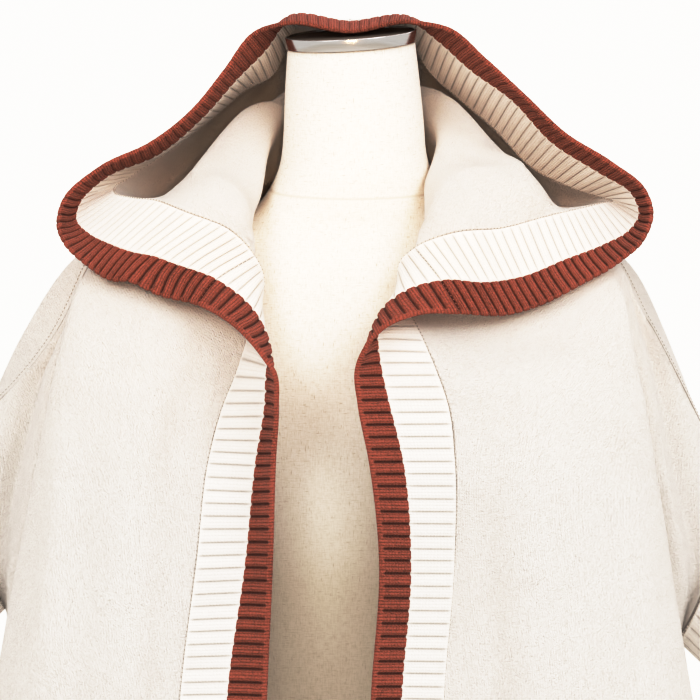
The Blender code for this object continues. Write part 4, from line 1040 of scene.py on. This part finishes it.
def make_form(material):
    """The linen-covered torso with the seam round the base of its neck."""
    fine = np.linspace(*FORM_SEAM_ROWS, FORM_SEAM_STEPS)
    last = len(FORM) - 1
    at = np.concatenate((np.linspace(0, fine[0], FORM_LOW_STEPS, endpoint=False), fine,
                         np.linspace(fine[-1], last, FORM_NECK_STEPS)[1:]))
    angles = (np.arange(FORM_SEGMENTS) / FORM_SEGMENTS + 0.25) % 1 * 2 * math.pi
    across = np.cos(angles)
    along = np.sin(angles)
    rings = []
    for height, x, y, half_width, front, back, square, tilt in smooth_rows(
            FORM, np.arange(last + 1), at):
        right = half_width * np.sign(across) * abs(across) ** (2 / square)
        deep = np.where(along > 0, back, front) * np.sign(along) * abs(along) ** (2 / square)
        up = height + tilt * (CAP_TILT * deep + CAP_ROLL * right)
        rings.append(np.stack((x + right, y + deep, up), axis=-1))
    rings = np.array(rings)
    off = (rings[..., 2] - NECK_SEAM_HEIGHT - NECK_SEAM_RISE * along) / NECK_SEAM_WIDTH
    seam = np.exp(-off * off)
    way = (rings - rings.mean(axis=1, keepdims=True)) * (1, 1, 0)
    rings = rings - unit(way) * NECK_SEAM_DEPTH * seam[..., None]
    middle = FORM_SEGMENTS // 2
    upward = path_lengths(rings[:, middle:middle + 1], 0)[:, 0]
    skin("torso", "dress_form", rings, material, "linen", seam, wales_across=True,
         counted=upward, middle=middle, flat_ends=True)


def set_values(item, values):
    """Set an item's plain properties by name."""
    for name, value in values.items():
        setattr(item, name, value)


def apply_modifier(item, kind, **settings):
    """Add a modifier to the active piece and apply it at once."""
    modifier = item.modifiers.new(kind.lower(), kind)
    set_values(modifier, settings)
    bpy.ops.object.modifier_apply(modifier=modifier.name)


def stretch_depth(share):
    """Stretch what is selected along Y, about the middle of the neck's top."""
    bpy.ops.transform.resize(value=(1, share, 1), center_override=(0, 0, NECK_TOP * MM))


def tilt_to_neck(item):
    """Lean a round piece as the neck's top leans."""
    centre = Vector((NECK_TOP_ROW[1], 0, NECK_TOP)) * MM
    bpy.ops.mesh.select_all(action="SELECT")
    stretch_depth(1 / math.cos(math.atan(CAP_TILT)))
    bpy.ops.transform.translate(value=(centre.x, 0, 0))
    bm = bmesh.from_edit_mesh(item.data)
    turn = Matrix.Rotation(math.atan(CAP_TILT), 3, "X") @ Matrix.Rotation(
        -math.atan(CAP_ROLL), 3, "Y")
    bmesh.ops.rotate(bm, cent=centre, matrix=turn, verts=bm.verts[:])
    bmesh.update_edit_mesh(item.data)


def turn_piece(name, node, radius, low, high, segments, bevel, steps, material, slot_name):
    """Turn one upright round piece, step its top, bevel it and stand it for its CAD node."""
    of_neck = node.startswith("neck")
    is_band = node == "neck_band"
    bpy.ops.object.select_all(action="DESELECT")
    bpy.ops.mesh.primitive_cylinder_add(
        vertices=segments, radius=radius * MM, depth=(high - low) * MM,
        end_fill_type="NOTHING" if is_band else "NGON")
    item = bpy.context.object
    item.name = item.data.name = name
    bpy.ops.object.mode_set(mode="EDIT")
    bpy.ops.mesh.select_all(action="SELECT")
    bpy.ops.transform.translate(value=(0, 0, (high + low) / 2 * MM))
    if of_neck:
        stretch_depth(NECK_TOP_ROW[4] / NECK_RADIUS)
    bpy.ops.mesh.select_mode(type="FACE")
    bpy.ops.mesh.select_all(action="DESELECT")
    bm = bmesh.from_edit_mesh(item.data)
    for face in bm.faces:
        if face.normal.z > 0.9:
            face.select_set(True)
    bmesh.update_edit_mesh(item.data)
    for thickness, depth in steps:
        bpy.ops.mesh.inset(thickness=thickness * MM, depth=depth * MM)
    if of_neck:
        tilt_to_neck(item)
    bpy.ops.object.mode_set(mode="OBJECT")
    if is_band:
        apply_modifier(item, "SOLIDIFY", thickness=CAP_WALL * MM, offset=-1.0)
    width, rounds = bevel
    apply_modifier(item, "BEVEL", width=width * MM, segments=rounds, limit_method="ANGLE")
    bpy.ops.object.transform_apply(location=True, rotation=True, scale=True)
    bpy.ops.object.shade_smooth_by_angle(angle=math.radians(SMOOTH_ANGLE))
    item.data.materials.clear()
    item.data.materials.append(material)
    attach(item, "root")
    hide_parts(node)


def feed(tree, socket, value):
    """Give a shader input another node's output, a number or a colour."""
    if isinstance(value, bpy.types.NodeSocket):
        tree.links.new(value, socket)
    elif isinstance(value, (int, float)):
        socket.default_value = value
    else:
        socket.default_value = (*value, 1.0)


def new_node(tree, kind, inputs=(), **settings):
    """Add a shader node, set its plain properties and feed its inputs."""
    made = tree.nodes.new(kind)
    set_values(made, settings)
    for socket, value in dict(inputs).items():
        feed(tree, made.inputs[socket], value)
    return made


def calculate(tree, operation, *values, clamp=False):
    """Add a Math node on sockets or numbers and give its output."""
    return new_node(tree, "ShaderNodeMath", enumerate(values), operation=operation,
                    use_clamp=clamp).outputs[0]


def blend_colours(tree, share, first, second, mode="MIX"):
    """Mix two colours by a share; each may be a socket or a plain colour."""
    return new_node(tree, "ShaderNodeMix", {0: share, 6: first, 7: second}, data_type="RGBA",
                    blend_type=mode).outputs[2]


def soft_noise(tree, vector, scale, detail=2.0, roughness=0.5):
    """Add a noise texture and give its value."""
    return new_node(tree, "ShaderNodeTexNoise", {"Vector": vector, "Scale": scale,
                    "Detail": detail, "Roughness": roughness}).outputs["Fac"]


def stretched(tree, vector, scale):
    """Stretch a vector along its axes."""
    made = new_node(tree, "ShaderNodeMapping", {"Vector": vector})
    made.inputs["Scale"].default_value = scale
    return made.outputs["Vector"]


def start_group(name, numbers, outputs):
    """Begin a shared effect: a group that takes a vector and plain numbers."""
    group = bpy.data.node_groups.new(name, "ShaderNodeTree")
    group.interface.new_socket("Vector", in_out="INPUT", socket_type="NodeSocketVector")
    for label, value in numbers:
        made = group.interface.new_socket(label, in_out="INPUT", socket_type="NodeSocketFloat")
        made.default_value = value
    for label in outputs:
        group.interface.new_socket(label, in_out="OUTPUT", socket_type="NodeSocketFloat")
    return group, new_node(group, "NodeGroupInput").outputs


def end_group(group, results):
    """Hand a shared effect's results out of its group."""
    new_node(group, "NodeGroupOutput", results)
    return group


def make_knit_group():
    """Loops of plain knitting on a cloth map: x counts wales and y counts courses."""
    group, given = start_group(
        "knit loops", (("Wale", 0.003), ("Course", 0.0024), ("Lean", 0.6), ("Wander", 0.2)),
        ("Height", "Gap Shade"))
    work = partial(calculate, group)
    apart = new_node(group, "ShaderNodeSeparateXYZ", {0: given["Vector"]}).outputs
    wobble = work("SUBTRACT", soft_noise(group, given["Vector"], 90.0), 0.5)
    wale = work("DIVIDE", apart[0], given["Wale"])
    inside = work("FRACT", work("MULTIPLY_ADD", wobble, given["Wander"], wale))
    from_middle = work("ABSOLUTE", work("SUBTRACT", inside, 0.5))
    course = work("ADD", work("DIVIDE", apart[1], given["Course"]), wobble)
    slanted = work("MULTIPLY_ADD", from_middle, given["Lean"], course)
    loop = work("ABSOLUTE", work("SINE", work("MULTIPLY", slanted, math.pi)))
    legs = work("ABSOLUTE", work("SINE", work("MULTIPLY", inside, 2 * math.pi)))
    height = work("MULTIPLY", work("POWER", legs, 0.6), work("MULTIPLY_ADD", loop, 0.5, 0.5))
    # Painted shade: where the loops sink, the gap darkens the colour.
    painted_gap_shade = work("SUBTRACT", 1.0, height, clamp=True)
    return end_group(group, {"Height": height, "Gap Shade": painted_gap_shade})


def make_nap_group():
    """Short felted nap: fine fibres over slow unevenness."""
    group, given = start_group("felted nap", (("Fibre", 620.0), ("Cloud", 22.0)),
                               ("Height", "Shade"))
    fibre = soft_noise(group, given["Vector"], given["Fibre"], 4.0, 0.65)
    cloud = soft_noise(group, given["Vector"], given["Cloud"], 3.0)
    height = calculate(group, "MULTIPLY_ADD", cloud, 0.25, fibre)
    shade = calculate(group, "MULTIPLY_ADD", fibre, 2.0, cloud)
    shade = calculate(group, "SUBTRACT", shade, NAP_MIDDLE)
    return end_group(group, {"Height": height, "Shade": shade})


def make_brush_group():
    """Fine scratches round a turned metal piece."""
    group, given = start_group("brushed grain", (("Fineness", 900.0),), ("Grain", "Cloud"))
    long_way = stretched(group, given["Vector"], (0.06, 0.06, 1.0))
    grain = soft_noise(group, long_way, given["Fineness"], 3.0)
    return end_group(group, {"Grain": grain,
                             "Cloud": soft_noise(group, given["Vector"], 30.0, 3.0)})


def place_group(tree, group, vector, **numbers):
    """Place a shared effect in a material with its own values and give its outputs."""
    return new_node(tree, "ShaderNodeGroup", {"Vector": vector, **numbers},
                    node_tree=group).outputs


def start_material(name, roughness, sheen=0.0, sheen_roughness=0.5, metallic=0.0):
    """A principled material, plain numbers set on its shader, and its own coordinates."""
    material = bpy.data.materials.new(name)
    material.use_nodes = True
    tree = material.node_tree
    shader = tree.nodes["Principled BSDF"].inputs
    shader["Roughness"].default_value = roughness
    shader["Metallic"].default_value = metallic
    shader["Specular IOR Level"].default_value = 0.5 if metallic else 0.2
    shader["Sheen Weight"].default_value = sheen
    shader["Sheen Roughness"].default_value = sheen_roughness
    return material, tree, shader, new_node(tree, "ShaderNodeTexCoord").outputs["Object"]


def finish_material(tree, shader, colour, *heights):
    """Link the colour and chain bumps, each with its height and distance in metres."""
    feed(tree, shader["Base Color"], colour)
    last = None
    for height, distance in heights:
        bump = new_node(tree, "ShaderNodeBump", {"Distance": distance, "Height": height})
        if last is not None:
            tree.links.new(last, bump.inputs["Normal"])
        last = bump.outputs["Normal"]
    tree.links.new(last, shader["Normal"])


def cloth_inputs(tree):
    """The map of the cloth in metres, and how deep in a groove or seam a point lies."""
    return (new_node(tree, "ShaderNodeUVMap", uv_map="cloth").outputs["UV"],
            new_node(tree, "ShaderNodeAttribute", attribute_name="groove").outputs["Fac"])


def knit_material(knit, nap, name, colours, loop_size, relief, nap_relief, contrast, crisp,
                  sheen):
    """Knitted wool: painted lit and shaded colours, and a painted deep shade down in the grooves.
    """
    lit, shaded, deep = colours
    wale, course, wander = loop_size
    material, tree, shader, place = start_material(name, 0.95, sheen, 0.45)
    cloth_map, groove = cloth_inputs(tree)
    loops = place_group(tree, knit, cloth_map, Wale=wale, Course=course, Wander=wander)
    felt = place_group(tree, nap, place)
    # Painted shade: the gaps between loops and the nap's random tone move the colour from lit to
    # shaded, and grooves and seam creases darken it further to the deep shade.
    tone = calculate(tree, "MULTIPLY_ADD", loops["Gap Shade"], contrast, felt["Shade"], clamp=True)
    colour = blend_colours(tree, calculate(tree, "POWER", groove, crisp),
                           blend_colours(tree, tone, lit, shaded), deep)
    finish_material(tree, shader, colour, (loops["Height"], relief),
                    (felt["Height"], nap_relief))
    return material


def linen_material(nap):
    """Plain-woven linen with slubs and dark flecks of flax; painted light and shade on its
    threads.
    """
    material, tree, shader, place = start_material("natural linen", 0.9, 0.1, 0.5)
    work = partial(calculate, tree)
    cloth_map, groove = cloth_inputs(tree)
    threads = []
    flecks = []
    for thread_scale, slub_scale in LINEN_SCALES:
        threads.append(soft_noise(tree, stretched(tree, cloth_map, thread_scale), 1.0))
        fleck = soft_noise(tree, stretched(tree, cloth_map, slub_scale), 1.0, 1.0)
        flecks.append(work("MULTIPLY", work("SUBTRACT", fleck, FLECK_FROM), 4.0, clamp=True))
    height = work("ADD", *threads)
    fleck = work("MAXIMUM", *flecks)
    felt = place_group(tree, nap, place, Cloud=9.0)
    # Painted light and shade: raised threads take the light colour, low ones the shaded colour.
    tone = work("MULTIPLY_ADD", height, -2.5, 3.0)
    tone = work("ADD", tone, felt["Shade"], clamp=True)
    colour = blend_colours(tree, tone, LINEN_LIGHT, LINEN_SHADE)
    # Painted shade: below a set height the linen darkens, where the cape shades the lower torso.
    up = new_node(tree, "ShaderNodeSeparateXYZ", {0: place}).outputs[2]
    low = work("MULTIPLY", work("SUBTRACT", PAINTED_SHADE_BELOW, up), 8.0, clamp=True)
    colour = blend_colours(tree, low, colour,
                           blend_colours(tree, 1.0, colour, LINEN_LOW_PAINTED_SHADE, "MULTIPLY"))
    colour = blend_colours(tree, fleck, colour, LINEN_FLECK)
    colour = blend_colours(tree, groove, colour, LINEN_SEAM)
    finish_material(tree, shader, colour, (height, 0.0002), (fleck, 0.00015))
    return material


def metal_material(name, brush):
    """Brushed steel with slight handling marks."""
    low, high = STEEL_ROUGHNESS
    material, tree, shader, place = start_material(name, low, metallic=1.0)
    worn = place_group(tree, brush, place)
    feed(tree, shader["Roughness"], calculate(tree, "MULTIPLY_ADD", worn["Cloud"], high - low,
                                              low))
    shaded = [STEEL_SHADE * c for c in STEEL_COLOUR]
    tint = blend_colours(tree, worn["Grain"], shaded, STEEL_COLOUR)
    finish_material(tree, shader, tint, (worn["Grain"], 0.00006))
    return material


def painted_shade_plate_material(brush):
    """Top plate coloured dark as painted shade under the hood's edge, with a faint turned grain.
    """
    material, tree, shader, place = start_material("plate dark as painted shade", 0.55)
    grain = place_group(tree, brush, place, Fineness=260.0)["Grain"]
    finish_material(tree, shader, blend_colours(tree, grain, *PLATE_SHADE_COLOURS), (grain, 0.0001))
    return material


def thread_material(name, colour, shade):
    """Sewing yarn: a plain twist seen as a faint slant of light and shade."""
    material, tree, shader, place = start_material(name, 0.9, 0.2)
    twist = soft_noise(tree, place, 1400.0)
    finish_material(tree, shader, blend_colours(tree, twist, colour, shade), (twist, 0.0001))
    return material


def add_light(kind, name, place, target, colour, power, **settings):
    """Hang one lamp and aim it."""
    data = bpy.data.lights.new(name, kind)
    set_values(data, settings)
    data.energy = power
    data.color = colour
    lamp = bpy.data.objects.new(name, data)
    bpy.context.scene.collection.objects.link(lamp)
    lamp.visible_camera = False
    lamp.location = place
    lamp.rotation_euler = (Vector(target) - Vector(place)).to_track_quat("-Z", "Y").to_euler()


def make_lights():
    """White surroundings, large soft lamps at the upper front and spots into the hood."""
    world = bpy.data.worlds.new("studio")
    bpy.context.scene.world = world
    world.use_nodes = True
    tree = world.node_tree
    backdrop = tree.nodes["Background"]
    feed(tree, backdrop.inputs["Color"], ROOM_COLOUR)
    feed(tree, backdrop.inputs["Strength"], ROOM_STRENGTH)
    path = new_node(tree, "ShaderNodeLightPath")
    shown = backdrop.outputs["Background"]
    for ray, colour in (("Is Glossy Ray", PLAIN_ROOM_COLOUR), ("Is Camera Ray", BACKDROP_COLOUR)):
        plain = new_node(tree, "ShaderNodeBackground", {"Color": colour})
        shown = new_node(tree, "ShaderNodeMixShader", {
            0: path.outputs[ray], 1: shown, 2: plain.outputs["Background"]}).outputs["Shader"]
    tree.links.new(shown, tree.nodes["World Output"].inputs["Surface"])
    for name, place, target, size, power in LAMPS:
        add_light("AREA", name, place, target, LAMP_COLOUR, power, shape="DISK", size=size)
    for name, place, target, cone, power in HOOD_SPOTS:
        add_light("SPOT", name, place, target, SPOT_COLOUR, power,
                  spot_size=math.radians(cone), spot_blend=1.0, shadow_soft_size=0.15)


def make_camera():
    """The photograph's view: level, straight on, from a little over two metres."""
    data = bpy.data.cameras.new("camera")
    data.sensor_width = 36.0
    data.lens = CAMERA_LENS
    camera = bpy.data.objects.new("camera", data)
    camera.location = CAMERA_PLACE
    camera.rotation_euler = (math.pi / 2, 0.0, 0.0)
    bpy.context.scene.collection.objects.link(camera)
    bpy.context.scene.camera = camera


def develop_picture():
    """A plain view with the photograph's soft contrast."""
    view = bpy.context.scene.view_settings
    view.view_transform = "Standard"
    view.use_curve_mapping = True
    mapping = view.curve_mapping
    mapping.white_level = (VIEW_WHITE, VIEW_WHITE, VIEW_WHITE)
    curve = mapping.curves[3]
    curve.points[-1].location = (1.0, VIEW_TOP)
    for place, shown in VIEW_CURVE:
        curve.points.new(place, shown)
    mapping.update()


def make_floor():
    """A plain pale floor."""
    bpy.ops.object.select_all(action="DESELECT")
    bpy.ops.mesh.primitive_plane_add(size=12.0)
    floor = bpy.context.object
    floor.name = "floor"
    material, tree, shader, place = start_material("pale floor", 0.9)
    mottle = soft_noise(tree, place, 3.0, 3.0)
    feed(tree, shader["Base Color"], blend_colours(tree, mottle, *FLOOR_COLOURS))
    floor.data.materials.append(material)


def sew_seams(path, back, hoods, threads):
    """The stitches along every seam that shows, on both faces of the cloth."""
    link = model_stitch(*LINK_STITCH)
    top = model_stitch(*TOP_STITCH)
    shaded, pale, rust = threads
    seam_rails, seam_normals = path.rails(np.linspace(0, path.knots[-1], SEAM_SAMPLES))
    stitch_row("linking_stitches_bands", both_faces(seam_rails[:, 2], seam_normals[:, 2]), link,
               shaded)

    shoulder_rows = round(SHOULDER_END_ROW / len(FRONT_LEFT) * (BACK_FINE[0] - 1))
    lines = []
    for end in (0, -1):
        lines += both_faces(*inset_line(back[:shoulder_rows], OUTWARD["back"], TOP_INSET, end))
    stitch_row("shoulder_topstitches", lines, top, shaded, TOP_PITCH, 0.0)

    ways = [normals_of(grid) * OUTWARD[node] for node, grid in hoods.items()]
    left, right = hoods.values()
    lines = both_faces((left[-1] + right[-1]) / 2, unit(ways[0][-1] + ways[1][-1]))
    for grid, way in zip((left, right), ways):
        lines += both_faces(grid[:, 0] - (0, 0, NECK_SEAM_LIFT / 2), way[:, 0])
    stitch_row("linking_stitches_hood", lines, link, shaded)

    lines = []
    for spec in (CUFF_LEFT, CUFF_RIGHT):
        ring = cuff_ring(spec, np.linspace(0, 2 * math.pi, CUFF_SAMPLES))
        lines += both_faces(ring, unit(ring - ring[:-1].mean(axis=0)))
    stitch_row("linking_stitches_cuffs", lines, link, shaded)

    for rail, thread, slot_name in ((0, rust, "rust_knit"), (1, pale, "cream_knit")):
        lines = []
        shares = rail + np.linspace(*JOINT_SHARES, JOINT_SAMPLES)
        for names in (path.left, path.right):
            line, ways = (smooth_rows(table[0], (0, 1, 2), shares)
                          for table in path.rails([path.place(names["joint"])]))
            lines += both_faces(line, unit(ways), BAND_WALL / 2 + THREAD_LIFT)
        stitch_row(f"joining_stitches_{slot_name}", lines, link, thread)


def build():
    """Make every piece of the cape and its form, and give the sheets of cloth by node."""
    knit = make_knit_group()
    nap = make_nap_group()
    brush = make_brush_group()
    plain, rib, rust = (knit_material(knit, nap, *look) for look in KNITS)
    linen = linen_material(nap)
    stand = {"stand_steel": metal_material("brushed steel", brush),
             "neck_dark": painted_shade_plate_material(brush)}
    threads = [thread_material(*yarn) for yarn in YARNS]

    path = BandPath()
    left = front_grid(path, FRONT_LEFT, NECK_LEFT, path.left, CUFF_LEFT)
    right = front_grid(path, FRONT_RIGHT, NECK_RIGHT, path.right, CUFF_RIGHT)
    panels = {"front_left": left, "front_right": right, "back": back_grid(left, right)}
    pieces = {}
    for node, folds, size, amount, seed, seam_shade_share in PANELS:
        grid = add_folds(smooth_down(panels[node]), folds, OUTWARD[node])
        panels[node] = add_unevenness(grid, size, amount, seed)
        pieces[node] = make_panel(node, panels[node], OUTWARD[node], plain, seam_shade_share=seam_shade_share)
    hoods = {}
    for node, table, neck, names, seed in (
            ("hood_left", HOOD_LEFT, NECK_LEFT, path.left, 4),
            ("hood_right", HOOD_RIGHT, NECK_RIGHT, path.right, 5)):
        hoods[node] = add_unevenness(hood_grid(path, table, neck, names), *HOOD_SWELLS, seed)
        pieces[node] = make_panel(node, hoods[node], OUTWARD[node], plain, wales_across=False)

    start, end = path.left["joint"], path.right["joint"]
    left_twist = path.beyond(path.left, "twist")
    strips = (
        ("front_band_{}_left", (0, start), RIB_PITCH, lambda at: 1 - left_twist(at), 11),
        ("hood_band_{}", (start, end), HOOD_RIB_PITCH, path.between("horn"), 12),
        ("front_band_{}_right", (end, path.last), RIB_PITCH, path.beyond(path.right, "twist"),
         13),
    )
    for pattern, rows, pitch, shown, seed in strips:
        for colour, material in (("rust", rust), ("cream", rib)):
            node = pattern.format(colour)
            pieces[node] = make_band(node, path, rows, material is rust, pitch, shown, seed,
                                     material)
    for node, spec, seed in (("cuff_left", CUFF_LEFT, 14), ("cuff_right", CUFF_RIGHT, 15)):
        pieces[node] = make_cuff(node, spec, seed, rib)

    sew_seams(path, panels["back"], hoods, threads)
    make_form(linen)
    for *shape, slot_name in TURNED:
        turn_piece(*shape, stand[slot_name], slot_name)
    return pieces


made = build()
make_floor()
make_lights()
make_camera()
develop_picture()
